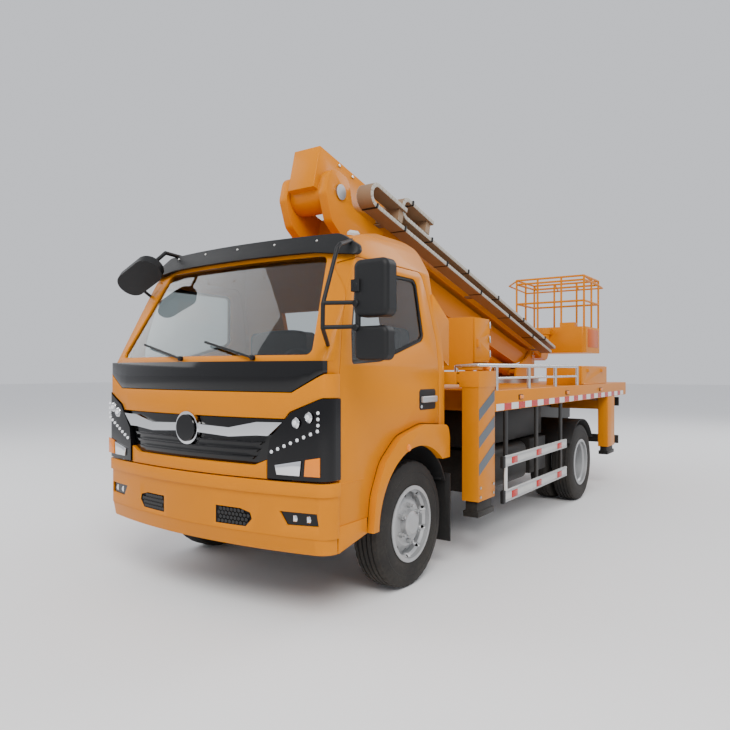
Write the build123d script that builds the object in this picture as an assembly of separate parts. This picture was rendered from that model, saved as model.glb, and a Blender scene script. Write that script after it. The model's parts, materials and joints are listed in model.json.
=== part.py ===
from build123d import *
import math
import os

# A boom lift truck: a forward-control two-axle lorry that carries a slewing turret, a folding and
# telescoping boom and a work basket. Millimetres. X points to the vehicle's left, Z up from the
# ground. While drawing, Y runs to the rear from the front axle; put() then moves every piece so that
# the origin is on the ground at the middle of the footprint.

# Running gear
wheelbase = 3330
tyre_r = 392.5
tyre_w = 200
tyre_out_x = 935
rear_out_x = 1020
bead_r = 222
flange_r = 236
twin_gap = 30
hub_bore_clear = 0.08
stub_r = 30
stub_end_x = tyre_out_x - 12
kingpin_x = 700
kingpin_r = 18
axle_z = tyre_r
rear_tube_r = 62
guard_r = tyre_r + 57

# Ladder frame
rail_x = 345
rail_w = 70
rail_h = 180
rail_top = 740
rail_rear_y = wheelbase + 1540
frame_low = rail_top - rail_h
cross_ys = (-760, 1010, 1900, wheelbase - 800, wheelbase + 760, rail_rear_y - 50)

# Cab
cab_half = 930
cab_low = 770
cab_front_y = -945
cab_rear_y = 430
screen_low_z = 1400
screen_front_y = -955
screen_rake = 0.56
bow = 0.135
wall = 45
panel = 40
seam = 0.3
face_y = cab_front_y - seam - panel
belt_z = 1360
roof_edge_z = 2000
roof_z = 2232
door_gap = 5
arch_c = (15, 422)
arch_r = 458
liner_t = 14
flare_x = cab_half + 45
flare_in_x = cab_half - 70
glass_t = 6
pillar_x = cab_half - 165

# Bumper
bumper_y = -995
bumper_half = cab_half + 25
bumper_low = 385
bumper_top = 762
bumper_t = 40

# Deck
deck_half = 1080
deck_front_y = 930
deck_rear_y = wheelbase + 1730
deck_top = 1200
skirt_low = 1045
plate_t = 30
skirt_t = 25
beam_low = 1250
beam_top = 1340
beam_y = (590, 900)
rail_tube_r = 15
rail_z = 1385

# Outriggers
case_wall = 8
case_end = deck_half - 140
beam_gap = 6
post_x = (deck_half - 105, deck_half + 20)
post_y = (610, 890)
post_low = 440
post_wall = 12
leg_gap = 6
foot_low = 330
foot_t = 40
rear_post_x = (deck_half - 110, deck_half)
rear_post_y = (wheelbase + 840, wheelbase + 1150)
rear_post_low = 470
rear_foot_low = 380

# Turret and boom: every boom piece is drawn along the boom, from the foot pin towards the rear,
# and then turned about the foot pin by boom_tilt.
slew_y = wheelbase + 670
foot_pin = (slew_y + 250, 1600)
knuckle = (200, 2620)
boom_len = math.hypot(foot_pin[0] - knuckle[0], knuckle[1] - foot_pin[1])
boom_tilt = math.degrees(math.atan2(knuckle[1] - foot_pin[1], foot_pin[0] - knuckle[0]))
knuckle_s = -boom_len
lower_half = 125
lower_z = (-278, -50)
foot_drop = 75
cheek_gap = 8
cheek_t = 30
ear_in = 147
ear_out = 217
pin_r = 35
upper_half = 120
upper_z = (20, 290)
tube_wall = 8
slide_gap = 8
section_step = tube_wall + slide_gap
upper_end = boom_len + 443.5
sections = (  # name, steps inwards, start and end along the boom from the knuckle
    ("boom_section_1", 1, 150, upper_end + 140),
    ("boom_section_2", 2, 250, upper_end + 260),
)
tip_pin = upper_end + 330
tip_mid_z = (upper_z[0] + upper_z[1]) / 2
cyl_base = (slew_y - 180, 1335)
cyl_eye_s = -1872
cyl_eye_d = -346
barrel_r = 55
rod_r = 36
ring_top = 1250
base_t = 20

# Basket
basket_half = 500
basket_long = 770
basket_low = 1590
basket_apron = 355
basket_top = 2650
basket_bar_r = 14
basket_gap = 302
outer_rail = (210, 220, 75)
swing_post_r = 45


def world(s, d):
    """World (y, z) of a point in the boom's own frame."""
    a = math.radians(boom_tilt)
    y = s * math.cos(a) + d * math.sin(a)
    z = -s * math.sin(a) + d * math.cos(a)
    return (foot_pin[0] + y, foot_pin[1] + z)


tip_y = world(knuckle_s + tip_pin, tip_mid_z)[0]
swing_y = tip_y + 177
basket_y = (tip_y + basket_gap, tip_y + basket_gap + basket_long)
cyl_eye = world(cyl_eye_s, cyl_eye_d)
front_end_y = bumper_y
rear_end_y = basket_y[1] + outer_rail[1] + basket_bar_r
middle_y = (front_end_y + rear_end_y) / 2
mirror_out_x = 1305
post_cap = 6
middle_x = (mirror_out_x - post_x[1] - post_cap) / 2


def block(x, y, z):
    """A box from three pairs of limits."""
    size = [abs(b - a) for a, b in (x, y, z)]
    mid = [(a + b) / 2 for a, b in (x, y, z)]
    return Pos(*mid) * Box(*size)


def rod(a, b, r):
    """A round bar from point a to point b."""
    a, b = Vector(*a), Vector(*b)
    place = Plane(origin=a, z_dir=(b - a))
    return place * Cylinder(r, (b - a).length, align=(Align.CENTER, Align.CENTER, Align.MIN))


def bars(points, r):
    """Round bars joined by balls, through a list of points."""
    made = [rod(a, b, r) for a, b in zip(points, points[1:])]
    made += [Pos(*p) * Sphere(r) for p in points[1:-1]]
    return fused(made)


def fused(shapes):
    """One shape from several that touch or cross."""
    whole = shapes[0]
    for s in shapes[1:]:
        whole = whole + s
    return whole


def other_side(shape):
    """The same shape on the vehicle's right."""
    return shape.mirror(Plane.YZ)


def outline_face(outline, corners):
    """A flat face; a third number on a point is the radius that rounds it."""
    face = make_face(Polyline(*corners, close=True))
    for point, at in zip(outline, corners):
        if len(point) > 2:
            corner = min(face.vertices(), key=lambda v: (v.center() - Vector(*at)).length)
            face = fillet(corner, point[2])
    return face


def side_prism(outline, x):
    """An outline of (y, z) points, carried between two X limits."""
    face = outline_face(outline, [(0, p[0], p[1]) for p in outline])
    return Pos(min(x), 0, 0) * extrude(face, abs(x[1] - x[0]), dir=(1, 0, 0))


def front_prism(outline, y):
    """An outline of (x, z) points, carried between two Y limits."""
    face = outline_face(outline, [(p[0], 0, p[1]) for p in outline])
    return Pos(0, min(y), 0) * extrude(face, abs(y[1] - y[0]), dir=(0, 1, 0))


def both(outline):
    """A right half outline of (x, z) points, closed with its mirror image."""
    return list(outline) + [(-p[0], *p[1:]) for p in reversed(outline)]


def across(y, z, r, x):
    """A round bar along X."""
    return rod((x[0], y, z), (x[1], y, z), r)


def plan_face(front, half, rear, corner, z):
    """A plan outline with a bowed front and rounded front corners, at height z."""
    back = front + bow * half * half / 1000
    left, right = (-half, back, z), (half, back, z)
    edges = [
        ThreePointArc(left, (0, front, z), right),
        Line(right, (half, rear, z)),
        Line((half, rear, z), (-half, rear, z)),
        Line((-half, rear, z), left),
    ]
    face = make_face(edges)
    sharp = [v for v in face.vertices() if abs(v.Y - back) < 1]
    return fillet(sharp, corner)


def upright(front, half, low, high, corner=90, rear=2000):
    """A block with the bowed front, between two heights."""
    return extrude(plan_face(front, half, rear, corner, low), high - low, dir=(0, 0, 1))


def raked(front, half, low, high, rake, corner=90, rear=2500):
    """A block whose bowed front leans back by rake for each unit of height."""
    face = plan_face(front, half, rear, corner, low)
    lean = Vector(0, rake, 1)
    return extrude(face, (high - low) * lean.length, dir=lean)


def cab_form(inset, low):
    """The cab's outer form, or one that lies a given distance inside it."""
    half = cab_half - inset
    ends = both(
        [
            (half, low),
            (half, belt_z, 500),
            (half - 68, roof_edge_z, 150),
            (half - 125, 2150 - inset / 2, 150 - inset),
            (half - 235, roof_z + 2 - inset, 200 - inset),
        ]
    )
    side = [
        (-1300, low),
        (-1300, 2045 - inset),
        (-612 + inset, 2045 - inset),
        (-340 + inset / 2, 2160 - inset, 500),
        (0, roof_z - inset, 600),
        (cab_rear_y - 190 - inset / 2, roof_z - inset, 130 - inset),
        (cab_rear_y - 95 - inset, 2010 - inset / 2, 90),
        (cab_rear_y - 78 - inset, 1850, 150),
        (cab_rear_y - inset, 1560, 200),
        (cab_rear_y - inset, low),
    ]
    lower = upright(cab_front_y + inset, half, low, screen_low_z)
    upper = raked(screen_front_y + inset, half, screen_low_z, 2300, screen_rake)
    ends_cut = front_prism(ends, (-1300, 800))
    return (lower + upper) & ends_cut & side_prism(side, (-1000, 1000))


door_rear_y = cab_rear_y - 82
door_outline = [
    (-757, 525), (-757, 1330, 200), (-690, 1620, 400), (-566, 1955, 60), (-505, 1992, 50),
    (door_rear_y - 125, 1992, 70), (door_rear_y - 70, 1850, 200), (door_rear_y, 1540, 300),
    (door_rear_y, 525),
]
flare_outline = [
    (-500, 440), (-470, 640, 200), (-380, 820, 200), (-200, 955, 250), (80, 1010, 300),
    (cab_rear_y - 25, 985, 60), (cab_rear_y - 4, 900, 40), (cab_rear_y - 4, 440),
]
door_window = [
    (-640, 1382, 20), (-622, 1560, 100), (-532, 1893, 60), (-474, 1940, 30),
    (158, 1940, 60), (192, 1565, 50), (150, 1534, 60), (-345, 1400, 150),
]
screen_outline = both([(cab_half - 115, 1432, 30), (cab_half - 130, 1500, 200), (cab_half - 240, 2010, 50)])
back_window = both([(450, 1450), (450, 1800)])


def grown(outline, by, prism, span):
    """A prism from an outline grown by a margin on every side."""
    face = prism(outline, span)
    flat = face.faces().sort_by(Axis.X if prism is side_prism else Axis.Y)[0]
    wide = offset(flat, by, kind=Kind.INTERSECTION)
    direction = (1, 0, 0) if prism is side_prism else (0, 1, 0)
    return extrude(wide, abs(span[1] - span[0]), dir=direction)


def cab_body():
    """Floor, roof, pillars and back wall, one shell with its openings cut."""
    body = cab_form(0, cab_low) - cab_form(wall, cab_low + wall)
    opening = grown(door_outline, door_gap, side_prism, (pillar_x, 1000))
    opening = opening & block((500, 1100), (-900, 600), (cab_low + wall, 2200))
    lower = grown(door_outline, door_gap, side_prism, (cab_half - wall - 25, 1000))
    opening = opening + lower
    body = body - opening - other_side(opening)
    body = body - front_prism(screen_outline, (-1300, -250))
    body = body - front_prism(back_window, (300, 700))
    for x in ((590, 1000), (-1000, -590)):
        body = body - across(*arch_c, arch_r + liner_t + 10, x)
    duct = [(cab_rear_y - 100, 1500), (cab_rear_y - 90, 1860), (cab_rear_y + 145, 1700, 20), (cab_rear_y + 145, 1380)]
    duct = side_prism(duct, (cab_half - 220, cab_half - 40)) - cab_form(2, cab_low)
    return body + duct


def door(glass=False):
    """The left door: the whole wall's thickness, its window cut, or the pane in that window."""
    if glass:
        pane = cab_form(14, 500) - cab_form(14 + glass_t, 500)
        return pane & side_prism(door_window, (pillar_x, 1000))
    slab = cab_form(0, 500) - cab_form(wall, 400)
    slab = slab & side_prism(door_outline, (pillar_x, 1000))
    slab = slab - side_prism(door_window, (pillar_x, 1000))
    slab = slab - grown(flare_outline, door_gap, side_prism, (500, 1100))
    handle = block((cab_half, cab_half + 22), (door_rear_y - 240, door_rear_y - 58), (1145, 1180))
    front = door_outline[0][0] - door_gap + seam
    hinges = [block((850, cab_half - wall + 5), (front, front + 60), (z, z + 70)) for z in (850, 1200)]
    return fused([slab, handle] + hinges)


# Front face pieces, as (x, z) outlines of the vehicle's left half
cowl_half = [(730, 1237), (905, 1335), (905, screen_low_z - seam)]
band_half = [(690, 1095), (720, 1132), (905, 1207), (1000, 1207), (1000, 1335), (912, 1330), (733, 1232)]
lip_half = [(580, 770), (580, 870), (500, 838)]
grille_half = [(500, 842), (580, 874), (596, 985), (688, 1088)]
lamp_back_y = -760
badge_z = 1018
badge_r = 95
mesh_half = [(225, 498), (440, 500), (482, 545), (470, 578), (400, 595), (225, 595)]
fog_half = [(700, 535), (885, 540), (875, 605), (655, 605)]


def lamp_outlines():
    half = [(592, 775), (1000, 775), (1000, 1202), (905, 1202), (730, 1125), (606, 985), (592, 880)]
    return [half, [(-x, z) for x, z in half]]


def face_skin(outline, depth=panel, proud=0, rear=lamp_back_y):
    """A piece of the bowed front face, of a given depth."""
    outer = upright(face_y - proud, cab_half + 12, 600, 1500)
    inner = upright(face_y + depth, cab_half + 12, 500, 1600)
    body = upright(cab_front_y - seam, cab_half + seam, 500, 1600)
    return (outer - inner - body) & front_prism(outline, (-1300, rear))


def front_lamps():
    lamps = [face_skin(o, depth=300, proud=8) for o in lamp_outlines()]
    fog = front_prism(fog_half, (-1300, -700))
    outer = upright(bumper_y + 24, bumper_half - 20, 450, 700, corner=100)
    inner = upright(bumper_y + bumper_t, bumper_half - bumper_t, 400, 800, corner=70)
    fog = fog & (outer - inner)
    return lamps + [fog, other_side(fog)]


def grille():
    """Slatted insert, and the gloss panel under the windscreen."""
    plate = face_skin(both(grille_half), depth=panel, proud=-22)
    slats = []
    for n in range(4):
        z = 868 + 40 * n
        slat = both([(480 + 25 * n, z), (500 + 25 * n, z + 16)])
        slats.append(face_skin(slat, depth=22, proud=-17 + 11))
    insert = fused([plate] + slats[:3]) - badge_space()
    return [insert, face_skin(both(cowl_half))]


def badge_space():
    return rod((0, face_y - 50, badge_z), (0, face_y + 16 + seam, badge_z), badge_r + seam)


def grille_trim():
    """Bright wing bars and the ring that carries the badge."""
    wing = [(60, 1000), (330, 985), (520, 1000), (592, 1000), (680, 1075), (520, 1072), (330, 1035), (60, 1045)]
    wings = face_skin(wing, depth=16, proud=6)
    ring = rod((0, face_y - 9, badge_z), (0, face_y + 16, badge_z), badge_r)
    return fused([wings, other_side(wings), ring])


def front_panel():
    band = face_skin(both(band_half), rear=-768) - badge_space()
    lip = face_skin(both(lip_half))
    return [band, lip]


def bumper():
    ledge = upright(bumper_y, bumper_half, 692, bumper_top, corner=110)
    middle = upright(bumper_y + 12, bumper_half - 8, 470, 693, corner=110)
    lip = raked(bumper_y + 30, bumper_half - 22, bumper_low, 471, -0.20, corner=100)
    inner = upright(bumper_y + bumper_t, bumper_half - bumper_t, bumper_low - 50, bumper_top + 50, corner=70)
    skin = (ledge + middle + lip - inner) & block((-1000, 1000), (-1100, -778), (300, 900))
    for half in (mesh_half, fog_half):
        cut = front_prism(half, (-1300, -700))
        skin = skin - cut - other_side(cut)
    outer_mesh = upright(bumper_y + 26, bumper_half - 22, 450, 700, corner=92)
    inner_mesh = upright(bumper_y + 36, bumper_half - 32, 400, 800, corner=80)
    mesh = front_prism(mesh_half, (-1300, -700)) & (outer_mesh - inner_mesh)
    return skin + mesh + other_side(mesh)


def turned(profile, x, y, z):
    """A shape turned about a cross axis, from (x, r) points."""
    face = make_face(Polyline(*[(px, pr, 0) for px, pr in profile], close=True))
    return Pos(x, y, z) * revolve(face, Axis.X, 360)


def tyre(x, y):
    half = tyre_w / 2
    outer = [
        (half - 16, bead_r), (half - 4, 268), (half, 305), (half - 6, 352), (half - 22, tyre_r - 6),
        (half - 34, tyre_r), (34 - half, tyre_r), (22 - half, tyre_r - 6), (6 - half, 352),
        (-half, 305), (4 - half, 268), (16 - half, bead_r),
    ]
    inner = [
        (34 - half, bead_r), (22 - half, 270), (18 - half, 305), (24 - half, 345), (40 - half, 368),
        (half - 40, 368), (half - 24, 345), (half - 18, 305), (half - 22, 270), (half - 34, bead_r),
    ]
    return turned(outer + inner, x, y, axle_z)


def rim(x, y):
    half = tyre_w / 2
    seat = bead_r - seam
    out = [
        (half - 10, seat), (half - 10, flange_r), (half - 4, flange_r), (half - 2, seat - 10),
        (half - 30, seat - 12), (half - 45, 196), (45 - half, 196), (30 - half, seat - 12),
        (2 - half, seat - 10), (4 - half, flange_r), (10 - half, flange_r), (10 - half, seat),
        (32 - half, seat - 2), (48 - half, 204), (half - 48, 204), (half - 32, seat - 2),
    ]
    return turned(out, x, y, axle_z)


def around(shape, count, x, y, first=0):
    """Copies of a shape turned about a wheel's axis, placed at its centre."""
    return [Pos(x, y, axle_z) * Rot(first + 360 * n / count, 0, 0) * shape for n in range(count)]


def front_wheel():
    """Left front wheel: rim, bulging disc, hub, nuts and cap."""
    x, y = tyre_out_x - tyre_w / 2, 0
    bore = stub_r + hub_bore_clear
    disc = [
        (-58, bore), (-58, 66), (40, 70), (46, 84), (46, 134), (4, 201), (16, 206), (62, 140),
        (62, 82), (94, 78), (106, 60), (106, 0), (88, 0), (88, bore),
    ]
    whole = rim(x, y) + turned(disc, x, y, axle_z)
    hole = Pos(30, 0, 172) * Rot(0, 58, 0) * Cylinder(19, 120)
    for cut in around(hole, 10, x, y):
        whole = whole - cut
    nut = rod((60, 0, 111), (88, 0, 111), 15) + rod((60, 0, 111), (104, 0, 111), 9)
    return fused([whole] + around(nut, 6, x, y))


def rear_wheel():
    """Left rear wheel pair: two rims, their dished discs, hub, nuts and flange."""
    x, y = rear_out_x - tyre_w / 2, wheelbase
    middle = -(tyre_w + twin_gap) / 2
    bore = stub_r + hub_bore_clear
    disc_out = [(middle + h + 11 * (r > 0), r) for r, h in [(80, 0), (134, 0), (201, 54), (206, 42), (142, -11), (80, -11)]]
    disc_in = [(2 * middle - px, pr) for px, pr in disc_out]
    hub = [
        (middle - 120, bore), (middle - 120, 150), (middle - 30, 150), (middle - 30, 84), (middle + 45, 84),
        (middle + 45, 66), (middle + 78, 62), (middle + 84, 40), (middle + 84, 0), (middle + 60, 0),
        (middle + 60, bore),
    ]
    parts = [rim(x, y), rim(x + 2 * middle, y)]
    parts += [turned(p, x, y, axle_z) for p in (disc_out, disc_in, hub)]
    whole = fused(parts)
    hole = Pos(middle + 30, 0, 174) * Rot(0, 50, 0) * Cylinder(18, 80)
    for cut in around(hole, 10, x, y):
        whole = whole - cut
    nut = rod((middle + 8, 0, 111), (middle + 40, 0, 111), 15)
    return fused([whole] + around(nut, 6, x, y))


def front_axle():
    """Dropped beam with an eye for each kingpin."""
    outline = both([(545, 262), (640, 330), (665, 330), (665, 452), (610, 452), (540, 332)])
    beam = front_prism(outline, (-42, 42))
    for side in (1, -1):
        x = side * kingpin_x
        beam = beam + rod((x, 0, 330), (x, 0, 452), 36)
        beam = beam + block((side * (rail_x + 4), side * (rail_x + rail_w - 4)), (-60, 60), (325, 387))
    for x in (kingpin_x, -kingpin_x):
        beam = beam - rod((x, 0, 300), (x, 0, 500), kingpin_r + hub_bore_clear)
    return beam


def knuckle_piece():
    """Left steering knuckle: fork, kingpin, stub axle, brake plate and arm."""
    top = block((660, 772), (-40, 40), (457, 492))
    low = block((660, 772), (-40, 40), (290, 325))
    back = block((742, 772), (-46, 46), (290, 492))
    pin = rod((kingpin_x, 0, 291), (kingpin_x, 0, 491), kingpin_r)
    x = tyre_out_x - tyre_w / 2
    stub = rod((770, 0, axle_z), (x + 78, 0, axle_z), stub_r)
    shoe = rod((756, 0, axle_z), (770, 0, axle_z), 150)
    arm = block((kingpin_x - 8, kingpin_x + 20), (20, 190), (291, 314))
    return fused([top, low, back, pin, stub, shoe, arm])


def leaf_spring(x, y, ends, mid, t, span):
    """A bowed pack of leaves with an eye at each end."""
    a, b = (0, y - span, ends), (0, y + span, ends)
    low = ThreePointArc(a, (0, y, mid), b)
    high = ThreePointArc((0, y - span, ends + t * 0.4), (0, y, mid + t), (0, y + span, ends + t * 0.4))
    face = make_face([low, high, Line(a, high @ 0), Line(b, high @ 1)])
    leaf = Pos(x, 0, 0) * extrude(face, rail_w, dir=(1, 0, 0))
    parts = [leaf]
    for end in (y - span, y + span):
        parts.append(across(end, ends + t * 0.3, 26, (x, x + rail_w)))
        parts.append(block((x + 5, x + rail_w - 5), (end - 35, end + 35), (ends + t * 0.3, frame_low)))
    return fused(parts)


def springs(y, ends, mid, t, span):
    left = leaf_spring(rail_x, y, ends, mid, t, span)
    return [left, other_side(left)]


def rear_axle():
    """Tube, differential and the ends that the hubs turn on."""
    x = rear_out_x - tyre_w / 2
    middle = x - (tyre_w + twin_gap) / 2
    end = middle + 50
    hub_in = middle - 125
    tube = across(wheelbase, axle_z, rear_tube_r, (-hub_in, hub_in))
    pins = across(wheelbase, axle_z, stub_r, (-end, end))
    ball = Pos(0, wheelbase, axle_z) * Sphere(165)
    nose = rod((0, wheelbase - 250, axle_z), (0, wheelbase, axle_z), 75)
    return fused([tube, pins, ball, nose])


def frame():
    """Ladder frame: two rails, cross members, bumper stays and cab mounts."""
    parts = []
    behind_bumper = upright(bumper_y + bumper_t + seam, 900, 300, 900, corner=70)
    for side in (1, -1):
        x = (side * rail_x, side * (rail_x + rail_w))
        rail = block(x, (-925, rail_rear_y), (frame_low, rail_top))
        parts.append(block(x, (-1000, -915), (frame_low, rail_top)) & behind_bumper)
        pocket = block((side * (rail_x - 5), side * (rail_x + rail_w - 8)), (-860, rail_rear_y + 5), (frame_low + 8, rail_top - 8))
        parts.append(rail - pocket)
        for y in (-700, 440):
            parts.append(block(x, (y - 50, y + 50), (rail_top, cab_low)))
    for y in cross_ys:
        parts.append(block((-rail_x - rail_w + 8, rail_x + rail_w - 8), (y, y + 50), (frame_low + 60, rail_top - 30)))
    return fused(parts)


def engine():
    """Engine and gearbox as plain blocks on their mounts, with the propeller shaft."""
    web = rail_x + rail_w - 8 - seam
    motor = block((-260, 260), (-600, 425), (440, cab_low - 15))
    mounts = [block((-web, web), (y, y + 60), (600, 640)) for y in (-450, 200)]
    box = block((-150, 150), (425, 900), (470, 700))
    shaft = rod((0, 900, 560), (0, wheelbase - 258, axle_z), 42)
    return fused([motor, box, shaft] + mounts)


def tanks():
    """Fuel tank and battery box on the left, air and oil tanks on the right, a locker over each."""
    start, end = deck_front_y + 190, wheelbase - 770
    part = (end - start) / 24
    web = rail_x + rail_w
    fuel = block((web + 15, cab_half - 30), (start, start + 15.5 * part), (390, 720))
    fuel = fillet(fuel.edges().filter_by(Axis.Y), 70)
    strap = block((web, web + 45), (start + 3 * part, start + 5 * part), (600, 700))
    battery = block((web, cab_half - 30), (end - 7 * part, end), (420, 730))
    oil = block((-cab_half + 30, -web), (end - 13 * part, end), (400, 730))
    air = []
    for n in range(2):
        x = -cab_half + 70 + n * 210
        air.append(rod((x, start - 40, 560), (x, start + 9.5 * part, 560), 95))
    for y in (start + 1.5 * part, start + 6.5 * part):
        air.append(block((-cab_half - 30, -web), (y, y + 80), (440, 470)))
        air.append(block((-web - 85, -web), (y, y + 80), (440, 640)))
    lockers = []
    for x in ((web + 5, cab_half - 90), (-cab_half - 40, -web - 5)):
        hull = block(x, (start - 40, end + 60), (745, skirt_low - 15))
        room = block((x[0] + 12, x[1] - 12), (start - 28, end + 48), (740, skirt_low - 27))
        lockers.append(hull - room)
    return [fused([fuel, strap]), battery, oil, fused(air)] + lockers


def arch_liner():
    """Left wheel arch liner with the front mudflap behind it."""
    ring = across(*arch_c, arch_r + liner_t, (600, cab_half)) - across(*arch_c, arch_r, (500, 1100))
    ring = ring & block((500, 1100), (-600, 485), (440, 1100))
    ring = ring - block((500, 1100), (300, 600), (0, 600))
    flap = block((640, cab_half + 20), (474, 486), (180, 645))
    hanger = block((700, 900), (425, 486), (605, 645))
    return fused([ring, flap, hanger])


def flare():
    """Left wheel arch flare."""
    lip = side_prism(flare_outline, (cab_half + seam, flare_x))
    lip = lip - across(*arch_c, arch_r, (500, 1100))
    return lip - block((500, 1100), (0, 600), (0, 765))


def step():
    """Left entry step, held from the frame."""
    x = (cab_half - 210, cab_half + 5)
    body = side_prism([(-770, 385), (-770, 525), (-505, 525), (-505, 440)], x)
    stay = block((600, 870), (-760, -520), (500, 765))
    stay = stay - across(*arch_c, arch_r + liner_t, (500, 1100))
    link = block((rail_x + rail_w, 640), (-700, -620), (650, 700))
    return fused([body, stay, link])


def deck():
    """Load deck with folded skirts."""
    x, y = (-deck_half, deck_half), (deck_front_y, deck_rear_y)
    parts = [block(x, y, (deck_top - plate_t, deck_top))]
    low = (skirt_low, deck_top - plate_t)
    for side in (-1, 1):
        parts.append(block((side * deck_half, side * (deck_half - skirt_t)), y, low))
    parts.append(block(x, (deck_front_y, deck_front_y + skirt_t), low))
    parts.append(block(x, (deck_rear_y - skirt_t, deck_rear_y), low))
    return fused(parts)


def subframe():
    """Rails and bearers that carry the deck, and the pedestal under the turntable."""
    high = deck_top - plate_t - seam
    y = (deck_front_y + skirt_t + seam, deck_rear_y - 120)
    x = deck_half - skirt_t - seam
    parts = []
    for side in (-1, 1):
        rail = (side * rail_x, side * (rail_x + rail_w))
        parts.append(block(rail, y, (rail_top, high)))
    pitch = (deck_rear_y - deck_front_y - 630) / 7
    for n in range(8):
        at = deck_front_y + 300 + pitch * n
        parts.append(block((-x, x), (at, at + 60), (deck_top - 110, high)))
    parts.append(block((-rail_x, rail_x), (slew_y - 300, slew_y + 300), (rail_top, deck_top - 110)))
    return fused(parts)


def handrail():
    """Left rail on the deck's edge."""
    x, end = deck_half - 20, wheelbase - 290
    front = post_y[0] + 62
    top = [(x - 160, front, beam_top), (x - 160, front, rail_z - 10), (x, front + 18, rail_z)]
    top = bars(top + [(x, end, rail_z), (x, end, deck_top)], rail_tube_r)
    first, step = deck_front_y + 80, (end - deck_front_y - 80) / 3
    posts = [rod((x, first + n * step, deck_top), (x, first + n * step, rail_z), rail_tube_r) for n in range(3)]
    low = rod((x, first, 1290), (x, end, 1290), 10)
    return fused([top, low] + posts)


def side_guard():
    """Left side guard: two bars and their hangers."""
    parts = []
    start, end = deck_front_y + 120, wheelbase - 750
    for z in ((357, 447), (622, 703)):
        parts.append(block((deck_half, deck_half + 20), (start, end), z))
    for y in (start + 80, (start + end) / 2 - 15, end - 130):
        parts.append(block((deck_half - 18, deck_half), (y, y + 60), (357, skirt_low)))
    return fused(parts)


box_y = (wheelbase - 150, wheelbase + 850)
box_x = (deck_half - 380, deck_half - 30)


def deck_box():
    """Left tool box on the deck, open on its outer side."""
    outer = block(box_x, box_y, (deck_top, 1395))
    inner = block((box_x[0] + 12, box_x[1] + 10), (box_y[0] + 12, box_y[1] - 12), (deck_top + 12, 1383))
    return outer - inner


def deck_box_door():
    x = box_x[1] + seam
    lid = block((x, x + 16), (box_y[0] + 4, box_y[1] - 4), (deck_top + 6, 1391))
    latch = [block((x + 16, x + 30), (y, y + 60), (1330, 1365)) for y in (box_y[0] + 200, box_y[1] - 260)]
    hinge = rod((x + 16, box_y[0] + 60, deck_top + 6), (x + 16, box_y[1] - 60, deck_top + 6), 5.5)
    return fused([lid, hinge] + latch)


def outrigger_case():
    """Fixed cross case of the front outriggers, with a channel for each beam, on its pedestal."""
    case = block((-case_end, case_end), beam_y, (beam_low, beam_top))
    middle = (beam_y[0] + beam_y[1]) / 2
    for y in ((beam_y[0] + case_wall, middle - case_wall / 2), (middle + case_wall / 2, beam_y[1] - case_wall)):
        case = case - block((-case_end - 5, case_end + 5), y, (beam_low + case_wall, beam_top - case_wall))
    feet = []
    for side in (-1, 1):
        x = (side * rail_x, side * (rail_x + rail_w))
        feet.append(block(x, (beam_y[0] + 30, beam_y[1] - 30), (rail_top, beam_low)))
    return fused([case] + feet)


def beam_span(left):
    middle = (beam_y[0] + beam_y[1]) / 2
    gap = case_wall + beam_gap
    if left:
        return (beam_y[0] + gap, middle - case_wall / 2 - beam_gap)
    return (middle + case_wall / 2 + beam_gap, beam_y[1] - gap)


def front_post(left=True):
    """Outrigger head: sliding beam, post, cap and side stripes' plate."""
    gap = case_wall + beam_gap
    beam = block((-case_end + 60, post_x[0] + 5), beam_span(left), (beam_low + gap, beam_top - gap))
    core = beam_span(left)
    by = beam_gap - seam
    collar = (-case_end + 60, -case_end + 120)
    pad = block(collar, (core[0] - by, core[1] + by), (beam_low + gap - by, beam_top - gap + by))
    beam = beam + pad
    beam = beam - block((-case_end, post_x[0] - 30), (core[0] + 8, core[1] - 8), (beam_low + gap + 8, beam_top - gap - 8))
    post = block(post_x, post_y, (post_low, 1330))
    cap = block((955, post_x[1] + post_cap), (post_y[0] - post_cap, post_y[1] + post_cap), (1232, 1345))
    lamp = rod((1050, 860, 1345), (1050, 860, 1362), 22)
    x = (post_x[0] + post_wall, post_x[1] - post_wall)
    y = (post_y[0] + post_wall, post_y[1] - post_wall)
    well = block(x, y, (post_low - 5, 1225))
    return fused([beam, post, cap, lamp]) - well


def wider(x, z, by, y):
    """A wear collar: two limits grown by a margin, between a third pair."""
    return block((x[0] - by, x[1] + by), (z[0] - by, z[1] + by), y)


def front_leg():
    """Left leg inside its post, with a foot."""
    gap = post_wall + leg_gap
    x = (post_x[0] + gap, post_x[1] - gap)
    y = (post_y[0] + gap, post_y[1] - gap)
    leg = block(x, y, (foot_low + foot_t, 1215))
    collar = wider(x, y, leg_gap - seam, (1150, 1210))
    foot = block((post_x[0] + 4, post_x[1] - 4), (post_y[0] + 5, post_y[1] - 5), (foot_low, foot_low + foot_t))
    return fused([leg, foot, collar])


def rear_outriggers():
    """Fixed rear posts on a cross member."""
    parts = []
    for side in (-1, 1):
        x = (side * rear_post_x[0], side * rear_post_x[1])
        post = block(x, rear_post_y, (rear_post_low, skirt_low))
        w = post_wall
        well = block((side * (rear_post_x[0] + w), side * (rear_post_x[1] - w)), (rear_post_y[0] + w, rear_post_y[1] - w), (0, 1010))
        y = (rear_post_y[0] + 10, rear_post_y[1] - 10)
        arm = block((side * (rail_x + rail_w), side * (rear_post_x[0] + 5)), y, (900, 1000))
        parts.append(post - well + arm)
    return parts


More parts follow.
